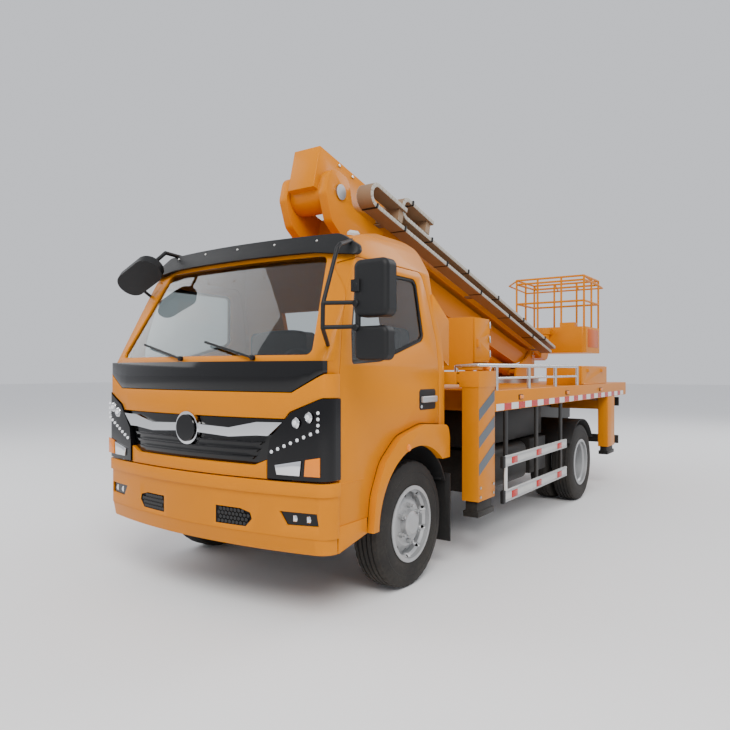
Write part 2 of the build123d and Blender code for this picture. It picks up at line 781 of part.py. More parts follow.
def rear_leg():
    gap = post_wall + leg_gap
    x = (rear_post_x[0] + gap, rear_post_x[1] - gap)
    y = (rear_post_y[0] + gap, rear_post_y[1] - gap)
    leg = block(x, y, (rear_foot_low + foot_t, 1000))
    collar = wider(x, y, leg_gap - seam, (940, 1000))
    x = (rear_post_x[0] + 4, rear_post_x[1] - 4)
    y = (rear_post_y[0] + 5, rear_post_y[1] - 5)
    return fused([leg, collar, block(x, y, (rear_foot_low, rear_foot_low + foot_t))])


cabinet_x = (deck_half - 830, deck_half - 230)
cabinet_y = (1050, 1330)
cabinet_z = (1350, 1760)
cabinet_sill = 60


def cabinet():
    """Tall locker behind the cab on short legs, open on its left side."""
    x, y, z = cabinet_x, cabinet_y, cabinet_z
    outer = block(x, y, z)
    inner = block((x[0] + 12, x[1] - 12), (y[0] + 12, y[1] - 12), (z[0] + 12, z[1] - 12))
    inner = inner + block((x[0] + 12, x[1] + 10), (y[0] + 12, y[1] - 12), (z[0] + cabinet_sill, z[1] - 12))
    legs = []
    for px in (x[0] + 20, x[1] - 70):
        for py in (y[0] + 10, y[1] - 60):
            legs.append(block((px, px + 50), (py, py + 50), (deck_top, z[0])))
    return fused([outer - inner] + legs)


def cabinet_door():
    x = cabinet_x[1] + seam
    y, z = cabinet_y, cabinet_z
    lid = block((x, x + 16), (y[0] + 3, y[1] - 3), (z[0] + cabinet_sill + 3, z[1] - 3))
    latch = block((x + 16, x + 32), (y[0] + 35, y[0] + 70), (z[0] + 180, z[0] + 240))
    pin_y = y[1] - 3
    hinges = [rod((x + 10, pin_y, low), (x + 10, pin_y, low + 60), 9) for low in (z[0] + 85, z[0] + 290)]
    return fused([lid, latch] + hinges)


def tilted(shape):
    """A boom piece drawn along the pin line, turned to its stowed slope."""
    return Pos(0, foot_pin[0], foot_pin[1]) * Rot(-boom_tilt, 0, 0) * shape


def tube(half, z, s, t):
    """A square boom tube drawn along the pin line."""
    solid = block((-half, half), s, z)
    return solid - block((t - half, half - t), (s[0] - 5, s[1] + 5), (z[0] + t, z[1] - t))


def lower_boom():
    """Lower boom: box, foot plates, and the two ears that hold the knuckle pin."""
    start, end = knuckle_s + 250, -400
    box = tube(lower_half, lower_z, (start, end), 10)
    box = box + block((-lower_half, lower_half), (start, start + 12), lower_z)
    box = box + block((-lower_half, lower_half), (end - 12, end), lower_z)
    foot = side_prism(
        [(-700, -50), (-700, -278), (-400, -278), (-60, -135), (50, -110), (50, -40), (-30, -25), (-200, -30)],
        (-lower_half, lower_half),
    )
    foot = foot - block((-lower_half + 25, lower_half - 25), (-720, 200), (-400, 300))
    foot = foot + across(0, -foot_drop, 55, (-lower_half, lower_half))
    k = knuckle_s
    ear = side_prism(
        [
            (k - 150, 110, 90), (k - 150, -70, 60), (k - 40, -235, 80), (k + 90, -292, 60), (k + 560, -292),
            (k + 600, -40), (k + 170, -40, 80), (k + 118, 60, 60), (k + 70, 140, 60), (k - 60, 140, 60),
        ],
        (ear_in, ear_out),
    )
    web = block((lower_half - 5, ear_in), (start, k + 540), (-280, -60))
    ears = fused([ear, web])
    whole = fused([box, foot, ears, other_side(ears)])
    whole = whole - across(k, 0, pin_r + hub_bore_clear, (-400, 400))
    whole = whole - across(0, -foot_drop, pin_r + hub_bore_clear, (-400, 400))
    eye_s, eye_d = along(cyl_eye)
    high, low = lower_z[0] + 5, eye_d - 30
    for x in ((62, 86), (-86, -62)):
        lug = [(eye_s - 150, high), (eye_s - 50, low), (eye_s + 50, low), (eye_s + 150, high)]
        whole = whole + side_prism(lug, x)
    return tilted(whole)


def along(point):
    """Place of a (y, z) point in the boom's own frame."""
    a = math.radians(boom_tilt)
    y, z = point[0] - foot_pin[0], point[1] - foot_pin[1]
    return (y * math.cos(a) - z * math.sin(a), y * math.sin(a) + z * math.cos(a))


def upper_boom():
    """Base tube of the upper boom with its nose about the knuckle pin."""
    k = knuckle_s
    box = tube(upper_half, upper_z, (k + 120, k + upper_end), tube_wall)
    nose = block((-upper_half, upper_half), (k - 180, k + 150), (-27, upper_z[1]))
    drum = across(k, 0, 128, (-ear_in + 4, ear_in - 4))
    collar = block((-upper_half - 12, upper_half + 12), (k + upper_end - 60, k + upper_end), (upper_z[0] - 12, upper_z[1] + 12))
    collar = collar - block((-upper_half, upper_half), (k + 4500, k + 4700), upper_z)
    whole = fused([box, nose, drum, collar])
    return tilted(whole - across(k, 0, pin_r + hub_bore_clear, (-400, 400)))


def boom_section(steps, start, end):
    shrink = steps * section_step
    z = (upper_z[0] + shrink, upper_z[1] - shrink)
    half = upper_half - shrink
    by = slide_gap - seam
    s = (knuckle_s + start, knuckle_s + end)
    pad = block((-half - by, half + by), (s[0] + 5, s[0] + 65), (z[0] - by, z[1] + by))
    pad = pad - block((2 - half, half - 2), (s[0], s[0] + 70), (z[0] + 2, z[1] - 2))
    return tube(half, z, s, tube_wall) + pad


def tip_section():
    """Inner section with the two plates that hold the basket's pin."""
    name, steps, start, end = sections[1]
    body = boom_section(steps, start, end)
    half = upper_half - steps * section_step
    z = (upper_z[0] + steps * section_step, upper_z[1] - steps * section_step)
    cap = block((-half, half), (knuckle_s + end - 12, knuckle_s + end), z)
    pin_s = knuckle_s + tip_pin
    parts = [body, cap]
    for x in ((52, 76), (-76, -52)):
        parts.append(side_prism([(pin_s - 75, z[0]), (pin_s - 75, z[1]), (pin_s + 20, tip_mid_z + 60), (pin_s + 60, tip_mid_z), (pin_s + 20, tip_mid_z - 60)], x))
    whole = fused(parts) + across(pin_s, tip_mid_z, 25, (-76, 76))
    return tilted(whole)


def chain_track(centre, low, end_s, x):
    """An energy chain: a long lower run, a loop and a short upper run."""
    s = knuckle_s + centre
    r, t = 95, 34
    ring = across(s, low + r, r, x) - across(s, low + r, r - t, (x[0] - 5, x[1] + 5))
    ring = ring - block((x[0] - 5, x[1] + 5), (s, s + 200), (low - 50, low + 300))
    lower = block(x, (s, end_s), (low, low + t))
    upper = block(x, (s, s + 420), (low + 2 * r - t, low + 2 * r))
    stand = block((upper_half, x[1] - 20), (s + 330, s + 400), (low + 60, low + 2 * r))
    feet = [block((upper_half, x[0] + 20), (p, p + 60), (max(low, upper_z[0]), low + t)) for p in (s + 300, s + 2000, end_s - 80)]
    return fused([ring, lower, upper, stand] + feet)


def energy_chains():
    first = chain_track(275, -5, 170 - 40, (ear_out + 8, 350))
    second = chain_track(735, 105, 340, (180, 330))
    return [tilted(first), tilted(second)]


def turret():
    """Turning base, cheek plates, foot pin and cylinder base pin."""
    low = ring_top + seam
    base = rod((0, slew_y, low), (0, slew_y, low + base_t), 330)
    spigot = rod((0, slew_y, deck_top + 10), (0, slew_y, low + 5), 200)
    inside = lower_half + cheek_gap
    foot = world(0, -foot_drop)
    outline = [
        (3720, low + 5), (3720, 1350), (3780, 1405), (4060, 1500), (4160, 1575),
        (foot[0], foot[1] + 75, 60), (foot[0] + 70, foot[1] + 45, 50), (foot[0] + 90, foot[1] - 20), (4310, low + 5),
    ]
    cheek = side_prism(outline, (inside, inside + cheek_t))
    web = block((-inside, inside), (4150, 4180), (low + 5, 1420))
    parts = [base, spigot, cheek, other_side(cheek), web]
    parts.append(across(*foot, pin_r, (-inside - cheek_t - 8, inside + cheek_t + 8)))
    parts.append(across(*cyl_base, 28, (-inside, inside)))
    return fused(parts)


def slew_ring():
    ring = rod((0, slew_y, deck_top), (0, slew_y, ring_top), 310)
    hole = rod((0, slew_y, deck_top - 10), (0, slew_y, ring_top + 10), 200 + hub_bore_clear)
    return ring - hole


def cylinder_frame():
    """Plane at the cylinder's base whose Z runs to the eye."""
    return math.hypot(cyl_eye[0] - cyl_base[0], cyl_eye[1] - cyl_base[1])


def at_cylinder(shape):
    """Turns a piece drawn along +Z from the base pin into place."""
    lean = math.degrees(math.atan2(cyl_eye[0] - cyl_base[0], cyl_eye[1] - cyl_base[1]))
    return Pos(0, *cyl_base) * Rot(-lean, 0, 0) * shape


def lift_barrel():
    length = cylinder_frame() - 130
    body = rod((0, 0, 60), (0, 0, length), barrel_r)
    bore = rod((0, 0, 110), (0, 0, length + 5), barrel_r - 10)
    eye = across(0, 0, 46, (-45, 45)) + block((-40, 40), (-40, 40), (0, 70))
    gland = rod((0, 0, length - 50), (0, 0, length), barrel_r + 2)
    whole = fused([body - bore, eye, gland])
    whole = whole - rod((0, 0, 110), (0, 0, length + 5), rod_r + seam)
    return at_cylinder(whole - across(0, 0, 28 + hub_bore_clear, (-100, 100)))


def lift_rod():
    total = cylinder_frame()
    body = rod((0, 0, 140), (0, 0, total), rod_r)
    piston = rod((0, 0, 120), (0, 0, 200), barrel_r - 10 - seam)
    eye = across(0, total, 42, (-50, 50))
    return at_cylinder(fused([body, piston, eye]))


def knuckle_pin():
    pin = across(knuckle_s, 0, pin_r, (-ear_out - 10, ear_out + 10))
    heads = [across(knuckle_s, 0, 55, x) for x in ((ear_out + seam, ear_out + 14), (-ear_out - 14, -ear_out - seam))]
    return tilted(fused([pin] + heads))


def basket_bracket():
    """Level arm on the tip pin, with the upright post that the basket swings on."""
    pin = world(knuckle_s + tip_pin, tip_mid_z)
    hub = across(*pin, 58, (-44, 44))
    y, z = pin
    arm = side_prism(
        [(y - 45, z + 30), (y + 30, 1830), (swing_y, 1830), (swing_y, 1692), (y + 104, 1692), (y + 50, z - 25)],
        (-40, 40),
    )
    post = rod((0, swing_y, 1590), (0, swing_y, 1930), swing_post_r)
    whole = fused([hub, arm, post])
    return whole - across(*pin, 25 + hub_bore_clear, (-100, 100))


def basket():
    """Work basket: floor, apron, guard rails and the two sleeves of its swing post."""
    y = basket_y
    x = (-basket_half, basket_half)
    top = basket_low + basket_apron
    tub = softened(block(x, y, (basket_low, top)), Axis.Z, 60)
    room = softened(block((x[0] + 15, x[1] - 15), (y[0] + 15, y[1] - 15), (basket_low + 25, top + 5)), Axis.Z, 45)
    r = basket_bar_r
    inset = r + 10
    corners = []
    for sx, py in ((1, y[0] + inset), (1, y[1] - inset), (-1, y[1] - inset), (-1, y[0] + inset)):
        corners.append((sx * (basket_half - inset), py))
    parts = [tub - room]
    for z in (basket_top - r, basket_top - r - 56, (basket_top + top) / 2):
        ring = [(cx, cy, z) for cx, cy in corners]
        parts.append(bars(ring + ring[:1], r))
        parts.append(Pos(*ring[0]) * Sphere(r))
    posts = list(corners)
    for n in (1, 2):
        px = basket_half * (2 * n / 3 - 1)
        posts += [(px, y[0] + inset), (px, y[1] - inset)]
    posts += [(side * (basket_half - inset), (y[0] + y[1]) / 2) for side in (-1, 1)]
    for cx, cy in posts:
        parts.append(rod((cx, cy, top - 40), (cx, cy, basket_top - r), r))
    wide, back, drop = outer_rail
    z0, z1 = basket_top - r, basket_top - r - drop
    edge = basket_half - inset
    loop = [
        (edge - 2, y[0] + inset + 6, z0 - 3), (edge - 4, y[1] + back, z1), (-edge - wide, y[1] + back, z1),
        (-edge - wide + 20, y[0] + 220, z1 + 30), (3 - edge, y[0] + inset + 5, z0 - 4),
    ]
    parts.append(bars(loop, r - 2))
    for px in (-edge + 4, -edge / 3 + 4, edge / 3 - 4):
        parts.append(rod((px, y[1] - inset - 2, z0 - 6), (px - 30, y[1] + back, z1 + 1), r - 4))
    for z in ((1600, 1680), (1842, 1922)):
        sleeve = rod((0, swing_y, z[0]), (0, swing_y, z[1]), swing_post_r + 18)
        arm = block((-50, 50), (swing_y + 30, y[0] + 10), z)
        parts.append(sleeve + arm)
    box = block((150, 350), (y[0] + 10, y[0] + 160), (top - 60, top + 60))
    whole = fused(parts + [box])
    return whole - rod((0, swing_y, 1500), (0, swing_y, 2000), swing_post_r + 0.3)


def windscreen():
    glass = cab_form(14, 1300) - cab_form(14 + glass_t, 1200)
    return glass & front_prism(screen_outline, (-1300, -250))


def visor():
    outline = [(600, 2032, 150), (905, 1998, 20), (880, 2060, 40), (745, 2142, 90)]
    lower = raked(screen_front_y - 42, 905, screen_low_z, 2400, screen_rake, corner=60)
    upper = raked(screen_front_y - seam, 940, screen_low_z, 2500, screen_rake, corner=90)
    return ((lower - upper) & front_prism(both(outline), (-1300, 0))) - cab_form(-seam, cab_low)


def wipers():
    made = []
    for x0, x1 in ((-90, -560), (470, 60)):
        y0 = screen_front_y + bow * x0 * x0 / 1000 - 12
        y1 = screen_front_y + bow * x1 * x1 / 1000 - 2
        z0, z1 = 1440, 1515
        arm = rod((x0, y0 - 4, z0 - 20), (x1, y1 - 14 + (z1 - screen_low_z) * screen_rake, z1), 7)
        pivot = rod((x0, y0 + 12, z0 - 20), (x0, y0 - 8, z0 - 20), 14)
        made.append(arm + pivot)
    return made


def softened(shape, axis, r):
    return fillet(shape.edges().filter_by(axis), r)


def left_mirrors():
    """Main and wide mirrors on their tube frame."""
    main = softened(block((1100, mirror_out_x), (-880, -790), (1615, 1900)), Axis.Y, 40)
    small = softened(block((1105, mirror_out_x - 5), (-875, -800), (1400, 1570)), Axis.Y, 35)
    main = fillet(main.faces().sort_by(Axis.Y)[0].edges(), 28)
    small = fillet(small.faces().sort_by(Axis.Y)[0].edges(), 22)
    bow_tube = [(780, -430, 2110), (1000, -845, 1994), (1003, -872, 1972), (1000, -985, 1680), (1000, -988, 1559)]
    tube_frame = bars(bow_tube + [(862, -760, 1470)], 11)
    arms = [bars([(1000, -985, z), (1124, -862, z + 6)], 11) for z in (1682, 1562)]
    back = rod((1124, -862, 1540), (1124, -862, 1800), 14)
    clamp = block((1100, 1150), (-890, -840), (1740, 1800))
    whole = fused([main, small, tube_frame, back, clamp] + arms)
    return whole - cab_form(-seam, cab_low) - visor()


def right_mirror():
    """Look-down mirror on an arm over the windscreen's far corner."""
    shell = softened(block((-190, 190), (-95, 95), (-38, 38)), Axis.Z, 92)
    shell = fillet(shell.faces().sort_by(Axis.Z)[-1].edges(), 30)
    shell = Pos(-795, -720, 2002) * Rot(0, -22, 0) * Rot(-38, 0, 0) * shell
    arm = bars([(-700, -420, 2150), (-640, -640, 2150), (-690, -700, 2075)], 13)
    stay = bars([(-840, -520, 1816), (-904, -706, 1965)], 10)
    return fused([shell, arm, stay]) - cab_form(-seam, cab_low) - visor()


def dashboard():
    top = block((-840, 840), (-950, -560), (1060, 1330))
    top = top & cab_form(wall + seam, cab_low)
    column = rod((430, -600, 1153), (430, -384, 1304), 28)
    ring = Plane(origin=(430, -390, 1300), z_dir=(0, 0.82, 0.57)) * Torus(205, 15)
    spoke = Plane(origin=(430, -390, 1300), z_dir=(0, 0.82, 0.57)) * Box(400, 40, 16)
    return fused([top, column, spoke, ring])


def seats():
    made = []
    for x in ((210, 700), (-700, -120)):
        rear = cab_rear_y - wall
        cushion = softened(block(x, (-170, rear - 95), (905, 1130)), Axis.Z, 40)
        back = softened(block(x, (rear - 150, rear - 40), (1080, 1640)), Axis.Y, 50)
        box = block((x[0] + 20, x[1] - 125 if x[1] > 0 else x[1]), (-150, rear - 115), (cab_low + wall, 905))
        box = box & block((-580, 580), (-200, 400), (700, 1000))
        made.append(fused([cushion, back, box]))
    return made


def mudguards():
    """Rear mudguards over the twin wheels and the flaps behind them."""
    made = []
    for side in (1, -1):
        x = (side * (rear_out_x - 2 * tyre_w - twin_gap - 15), side * (rear_out_x + 10))
        span = (side * 400, side * (rear_out_x + 100))
        ring = across(wheelbase, axle_z, guard_r, x) - across(wheelbase, axle_z, guard_r - 8, span)
        ring = ring & block(span, (wheelbase - 500, wheelbase + 500), (axle_z + 230, 1000))
        high = axle_z + guard_r
        stay = block((side * (rail_x + rail_w), side * 700), (wheelbase - 30, wheelbase + 30), (high - 28, high - 2))
        made.append(fused([ring, stay]))
    return made


def rear_guard():
    """Under-run bar and the lamp housings at the rear."""
    y = deck_rear_y
    bar = block((-1000, 1000), (y - 70, y - 30), (430, 530))
    stays = [block((s * 350, s * 410), (rail_rear_y, y - 65), (440, 700)) for s in (-1, 1)]
    lamps = [block((s * 650, s * 1000), (y - 40, y - 2), (900, 1010)) for s in (-1, 1)]
    hangers = [block((s * 780, s * 840), (y - skirt_t, y - 4), (1000, skirt_low)) for s in (-1, 1)]
    return [fused([bar] + stays), lamps[0] + hangers[0], lamps[1] + hangers[1]]


def put(name, *shapes):
    """Writes one node, moved so that the origin is the middle of the footprint."""
    solids = []
    for s in shapes:
        solids += list(s.solids())
    moved = [Pos(-middle_x, -middle_y, 0) * s for s in solids]
    whole = moved[0] if len(moved) == 1 else Compound(children=moved)
    whole.label = name
    export_step(whole, f"parts/{name}.step")


def put_pair(name, shapes):
    """Writes a left node and its mirror image."""
    put(name + "_left", *shapes)
    put(name + "_right", *[other_side(s) for s in shapes])


def main():
    os.makedirs("parts", exist_ok=True)
    put("frame", frame(), subframe())
    put("engine_block", engine())
    put("front_axle", front_axle())
    front = springs(0, 490, 387 + seam, 60, 560)
    put("rear_axle", rear_axle())
    rear = springs(wheelbase, 505, axle_z + rear_tube_r + seam, 55, 600)
    put("springs", *front, *rear)
    put_pair("knuckle", [knuckle_piece()])
    put_pair("front_tyre", [tyre(tyre_out_x - tyre_w / 2, 0)])
    put_pair("front_wheel", [front_wheel()])
    outer = rear_out_x - tyre_w / 2
    put_pair("rear_tyres", [tyre(outer, wheelbase), tyre(outer - tyre_w - twin_gap, wheelbase)])
    put_pair("rear_wheel", [rear_wheel()])
    put("tanks", *tanks())
    put("mudguards", *mudguards())
    liner = arch_liner()
    put("arches", liner, other_side(liner))
    trim = [flare(), step()]
    put("cab_body", cab_body(), *front_panel(), *trim, *[other_side(s) for s in trim])
    put_pair("door", [door()])
    put_pair("door_glass", [door(glass=True)])
    put("windscreen", windscreen())
    put("visor", visor())
    put("wipers", *wipers())
    put("mirrors", left_mirrors(), right_mirror())
    put("cab_interior", dashboard(), *seats())
    put("front_lamps", *front_lamps())
    put("grille", *grille())
    put("grille_trim", grille_trim())
    put("bumper", bumper())
    put("deck", deck(), deck_box())
    rail = handrail()
    put("handrails", rail, other_side(rail))
    guard = side_guard()
    put("side_guards", guard, other_side(guard))
    put("rear_guard", *rear_guard())
    put("deck_box_door", deck_box_door())
    put("cabinet", cabinet())
    put("cabinet_door", cabinet_door())
    put("outrigger_frame", outrigger_case(), *rear_outriggers())
    put("front_outrigger_left", front_post(True))
    put("front_outrigger_right", other_side(front_post(False)))
    put_pair("front_leg", [front_leg()])
    put_pair("rear_leg", [rear_leg()])
    put("slew_ring", slew_ring())
    put("turret", turret())
    put("lift_barrel", lift_barrel())
    put("lift_rod", lift_rod())
    put("lower_boom", lower_boom())
    put("knuckle_pin", knuckle_pin())
    put("upper_boom", upper_boom())
    put("energy_chains", *energy_chains())
    put("boom_section_1", tilted(boom_section(1, sections[0][2], sections[0][3])))
    put("boom_section_2", tip_section())
    put("basket_bracket", basket_bracket())
    put("basket", basket())


main()
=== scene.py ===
import bpy
import bmesh
import math
from mathutils import Matrix, Vector
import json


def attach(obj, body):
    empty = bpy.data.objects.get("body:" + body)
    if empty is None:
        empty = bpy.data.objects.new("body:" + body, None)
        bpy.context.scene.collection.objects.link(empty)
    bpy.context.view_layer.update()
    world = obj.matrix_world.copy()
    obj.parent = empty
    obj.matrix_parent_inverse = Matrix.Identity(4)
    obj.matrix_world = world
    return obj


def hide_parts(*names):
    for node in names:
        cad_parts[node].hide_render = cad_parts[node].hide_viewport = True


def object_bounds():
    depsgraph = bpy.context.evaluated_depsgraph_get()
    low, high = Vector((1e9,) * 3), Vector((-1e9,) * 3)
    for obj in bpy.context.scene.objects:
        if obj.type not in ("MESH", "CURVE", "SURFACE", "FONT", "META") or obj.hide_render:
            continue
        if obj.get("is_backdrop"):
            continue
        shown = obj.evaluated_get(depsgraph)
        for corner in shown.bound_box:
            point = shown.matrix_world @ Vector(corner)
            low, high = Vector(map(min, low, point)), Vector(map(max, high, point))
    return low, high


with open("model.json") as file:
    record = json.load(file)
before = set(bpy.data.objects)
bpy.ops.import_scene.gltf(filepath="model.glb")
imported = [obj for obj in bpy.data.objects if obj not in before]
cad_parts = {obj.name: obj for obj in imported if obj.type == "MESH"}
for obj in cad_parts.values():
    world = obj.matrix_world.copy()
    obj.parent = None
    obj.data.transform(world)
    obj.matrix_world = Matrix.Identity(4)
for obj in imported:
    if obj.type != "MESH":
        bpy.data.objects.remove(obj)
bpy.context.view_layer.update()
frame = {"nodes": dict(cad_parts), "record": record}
nodes = frame["nodes"]
bodyOf = {n: b for b, names in frame["record"]["behaviour"]["bodies"].items() for n in names}
print("frame loaded:", len(nodes), "nodes")

axleY = -2.674466  # front axle line
midX = -0.0995  # the truck's centreline, because the left mirror reaches further out
wheelZ = 0.3925
axleDistance = 3.33
cabBow = 0.135  # the cab's front curves back by this times the square of the distance from the middle
deckEdge = 1.080
outerFace = 1.100  # guard boards and front posts, from the middle
boomFoot = (4.25, 1.6)  # lower end of the folded booms' axis: behind the front axle, above the ground
kneeAlong = -4.1763  # the knuckle pin, along that axis
mergeGap = 0.00002


# Small helpers for shader trees
def newMaterial(name):
    mat = bpy.data.materials.new(name)
    mat.use_nodes = True
    return mat, mat.node_tree, mat.node_tree.nodes["Principled BSDF"]


def setShader(shader, **values):
    for key, value in values.items():
        shader.inputs[key.replace("_", " ")].default_value = value


def mathNode(tree, operation, a, b=0.5):
    made = tree.nodes.new("ShaderNodeMath")
    made.operation = operation
    for spot, value in zip(made.inputs, (a, b)):
        feed(tree, value, spot)
    return made.outputs[0]


def feed(tree, value, spot):
    if isinstance(value, bpy.types.NodeSocket):
        tree.links.new(value, spot)
    else:
        spot.default_value = value


def mixColor(tree, factor, a, b):
    made = tree.nodes.new("ShaderNodeMix")
    made.data_type = "RGBA"
    feed(tree, factor, made.inputs[0])
    feed(tree, a, made.inputs[6])
    feed(tree, b, made.inputs[7])
    return made.outputs[2]


def mapRange(tree, value, fromLow, fromHigh, low, high):
    made = tree.nodes.new("ShaderNodeMapRange")
    for spot, item in zip(made.inputs, (value, fromLow, fromHigh, low, high)):
        feed(tree, item, spot)
    return made.outputs[0]


def noise(tree, scale, detail=4, stretch=None):
    coords = tree.nodes.new("ShaderNodeTexCoord").outputs["Object"]
    if stretch:
        place = tree.nodes.new("ShaderNodeMapping")
        place.inputs["Scale"].default_value = stretch
        tree.links.new(coords, place.inputs["Vector"])
        coords = place.outputs[0]
    made = tree.nodes.new("ShaderNodeTexNoise")
    tree.links.new(coords, made.inputs["Vector"])
    made.inputs["Scale"].default_value = scale
    made.inputs["Detail"].default_value = detail
    return made.outputs[0]


def objectAxes(tree):
    coords = tree.nodes.new("ShaderNodeTexCoord").outputs["Object"]
    split = tree.nodes.new("ShaderNodeSeparateXYZ")
    tree.links.new(coords, split.inputs[0])
    return split.outputs


def newGroup(name, sockets, results):
    tree = bpy.data.node_groups.new(name, "ShaderNodeTree")
    for label, value in sockets.items():
        tree.interface.new_socket(label, in_out="INPUT", socket_type="NodeSocketFloat").default_value = value
    for label in results:
        tree.interface.new_socket(label, in_out="OUTPUT", socket_type="NodeSocketFloat")
    return tree, tree.nodes.new("NodeGroupInput").outputs, tree.nodes.new("NodeGroupOutput").inputs


def useGroup(tree, group, **values):
    made = tree.nodes.new("ShaderNodeGroup")
    made.node_tree = group
    for key, value in values.items():
        feed(tree, value, made.inputs[key])
    return made.outputs


# Road dust: thick near the ground, thin higher up, broken by two noises
roadDust, given, result = newGroup("roadDust", {"Amount": 0.5, "Low": 0.1, "High": 1.2}, ["Mask"])
height = mapRange(roadDust, objectAxes(roadDust)[2], given["Low"], given["High"], 1.0, 0.12)
patches = mapRange(roadDust, noise(roadDust, 3.5, 8), 0.35, 0.75, 0.25, 1.0)
specks = mapRange(roadDust, noise(roadDust, 60, 3), 0.4, 0.7, 0.6, 1.0)
dusty = mathNode(roadDust, "MULTIPLY", mathNode(roadDust, "MULTIPLY", height, patches), specks)
roadDust.links.new(mathNode(roadDust, "MULTIPLY", dusty, given["Amount"]), result["Mask"])

# Rain and wash streaks that run down the sides
washStreaks, given, result = newGroup("washStreaks", {"Amount": 0.3}, ["Mask"])
lines = mapRange(washStreaks, noise(washStreaks, 9, 5, (2.2, 2.2, 0.12)), 0.5, 0.8, 0.0, 1.0)
washStreaks.links.new(mathNode(washStreaks, "MULTIPLY", lines, given["Amount"]), result["Mask"])

# Fine waviness of sprayed paint
orangePeel, given, result = newGroup("orangePeel", {"Scale": 160.0}, ["Height"])
fine = orangePeel.nodes.new("ShaderNodeTexNoise")
orangePeel.links.new(
    orangePeel.nodes.new("ShaderNodeTexCoord").outputs["Object"], fine.inputs["Vector"],
)
orangePeel.links.new(given["Scale"], fine.inputs["Scale"])
orangePeel.links.new(fine.outputs[0], result["Height"])

dustColor = (0.30, 0.25, 0.19, 1)


def finish(
    name, color, rough, metal=0.0, dust=0.3, dustHigh=1.4, peel=160.0, bump=0.05, distance=0.002,
    streaks=0.15, shade=0.06, gloss=0.3,
):
    mat, tree, shader = newMaterial(name)
    setShader(shader, Metallic=metal, Specular_IOR_Level=gloss)
    cloud = mapRange(tree, noise(tree, 1.7, 3), 0.3, 0.7, 0.0, 1.0)
    darker = tuple(c * (1 - shade) for c in color[:3]) + (1,)
    base = mixColor(tree, cloud, darker, tuple(color[:3]) + (1,))
    mask = useGroup(tree, roadDust, Amount=dust, High=dustHigh)[0]
    lines = useGroup(tree, washStreaks, Amount=streaks)[0]
    grime = mathNode(tree, "MAXIMUM", mask, mathNode(tree, "MULTIPLY", lines, dust))
    base = mixColor(tree, grime, base, dustColor)
    tree.links.new(base, shader.inputs["Base Color"])
    tree.links.new(mapRange(tree, grime, 0.0, 0.6, rough, 0.8), shader.inputs["Roughness"])
    wave = tree.nodes.new("ShaderNodeBump")
    wave.inputs["Strength"].default_value = bump
    wave.inputs["Distance"].default_value = distance
    tree.links.new(useGroup(tree, orangePeel, Scale=peel)[0], wave.inputs["Height"])
    tree.links.new(wave.outputs[0], shader.inputs["Normal"])
    return mat


def paint(name, color, rough=0.28, coat=0.22, **more):
    mat = finish(name, color, rough, **more)
    setShader(mat.node_tree.nodes["Principled BSDF"], Coat_Weight=coat, Coat_Roughness=0.06)
    return mat


finishes = {
    "yellow_paint": paint(
        "yellowPaint", (0.62, 0.20, 0.0), 0.34, coat=0.05, dust=0.02, streaks=0.05, gloss=0.1,
    ),
    "orange_paint": paint("orangePaint", (0.56, 0.10, 0.0), coat=0.05, dust=0.03, gloss=0.1),
    "grey_paint": paint("greyPaint", (0.55, 0.56, 0.55), 0.4, dust=0.5),
    # near-black: real black paint, and also painted shade on the frame, tanks and parts under the deck
    "black_paint": finish("blackPaintAndShade", (0.006, 0.006, 0.0065), 0.45, dust=0.16, gloss=0.2),
    "dark_plastic": finish(
        "darkPlastic", (0.009, 0.0095, 0.0105), 0.5, dust=0.06, peel=500, bump=0.2, gloss=0.25,
    ),
    "gloss_black": paint("glossBlack", (0.0015, 0.0015, 0.002), 0.1, dust=0.015, gloss=0.3),
    "lamp": finish("lampHousing", (0.004, 0.004, 0.005), 0.08, dust=0.015, bump=0.01),
    "chrome": finish("chromePlate", (0.82, 0.83, 0.84), 0.07, 1.0, dust=0.05, bump=0.01),
    "stainless": finish("stainlessTube", (0.62, 0.62, 0.61), 0.25, 1.0, dust=0.1),
    "steel": finish("machinedSteel", (0.45, 0.45, 0.46), 0.3, 1.0, dust=0.2),
    # near-black: dark cast iron, darkened further as painted shade on the hidden engine
    "cast": finish("castIronAndShade", (0.012, 0.012, 0.012), 0.6, dust=0.25, peel=90, bump=0.3),
    "wheel_silver": paint("wheelSilver", (0.42, 0.43, 0.44), 0.38, metal=0.5, dust=0.3),
    "rubber": finish(
        "tyreRubber", (0.008, 0.008, 0.0085), 0.7, dust=0.2, dustHigh=0.9, peel=300, bump=0.2,
    ),
    "interior": finish("cabTrim", (0.018, 0.018, 0.020), 0.7, dust=0.05, peel=600, bump=0.3),
    "chain_plastic": finish("chainBack", (0.26, 0.17, 0.10), 0.55, dust=0.15),
}

# Window glass: clear with a grey tint
glassMat, tree, shader = newMaterial("tintedGlass")
setShader(shader, Base_Color=(0.55, 0.60, 0.60, 1), Roughness=0.02, Transmission_Weight=1.0, IOR=1.45)
finishes["glass"] = glassMat

slotOf = {s["node"]: s["material_slot"] for s in frame["record"]["subparts"]}
for name, obj in nodes.items():
    obj.data.materials.clear()
    obj.data.materials.append(finishes[slotOf[name]])
print("finishes on", len(nodes), "nodes")

# Makers: every new piece starts as a primitive, is shaped in edit mode and ends with its place applied
truck = Matrix.Translation((midX, axleY, 0))
boomTilt = math.atan2(1.02, 4.05)  # the folded booms drop 1.02 m over 4.05 m
boomPlace = Matrix.Translation((midX, boomFoot[0] + axleY, boomFoot[1]))
boom = boomPlace @ Matrix.Rotation(-boomTilt, 4, "X")


def fresh():
    if bpy.context.object and bpy.context.object.mode != "OBJECT":
        bpy.ops.object.mode_set(mode="OBJECT")
    bpy.ops.object.select_all(action="DESELECT")


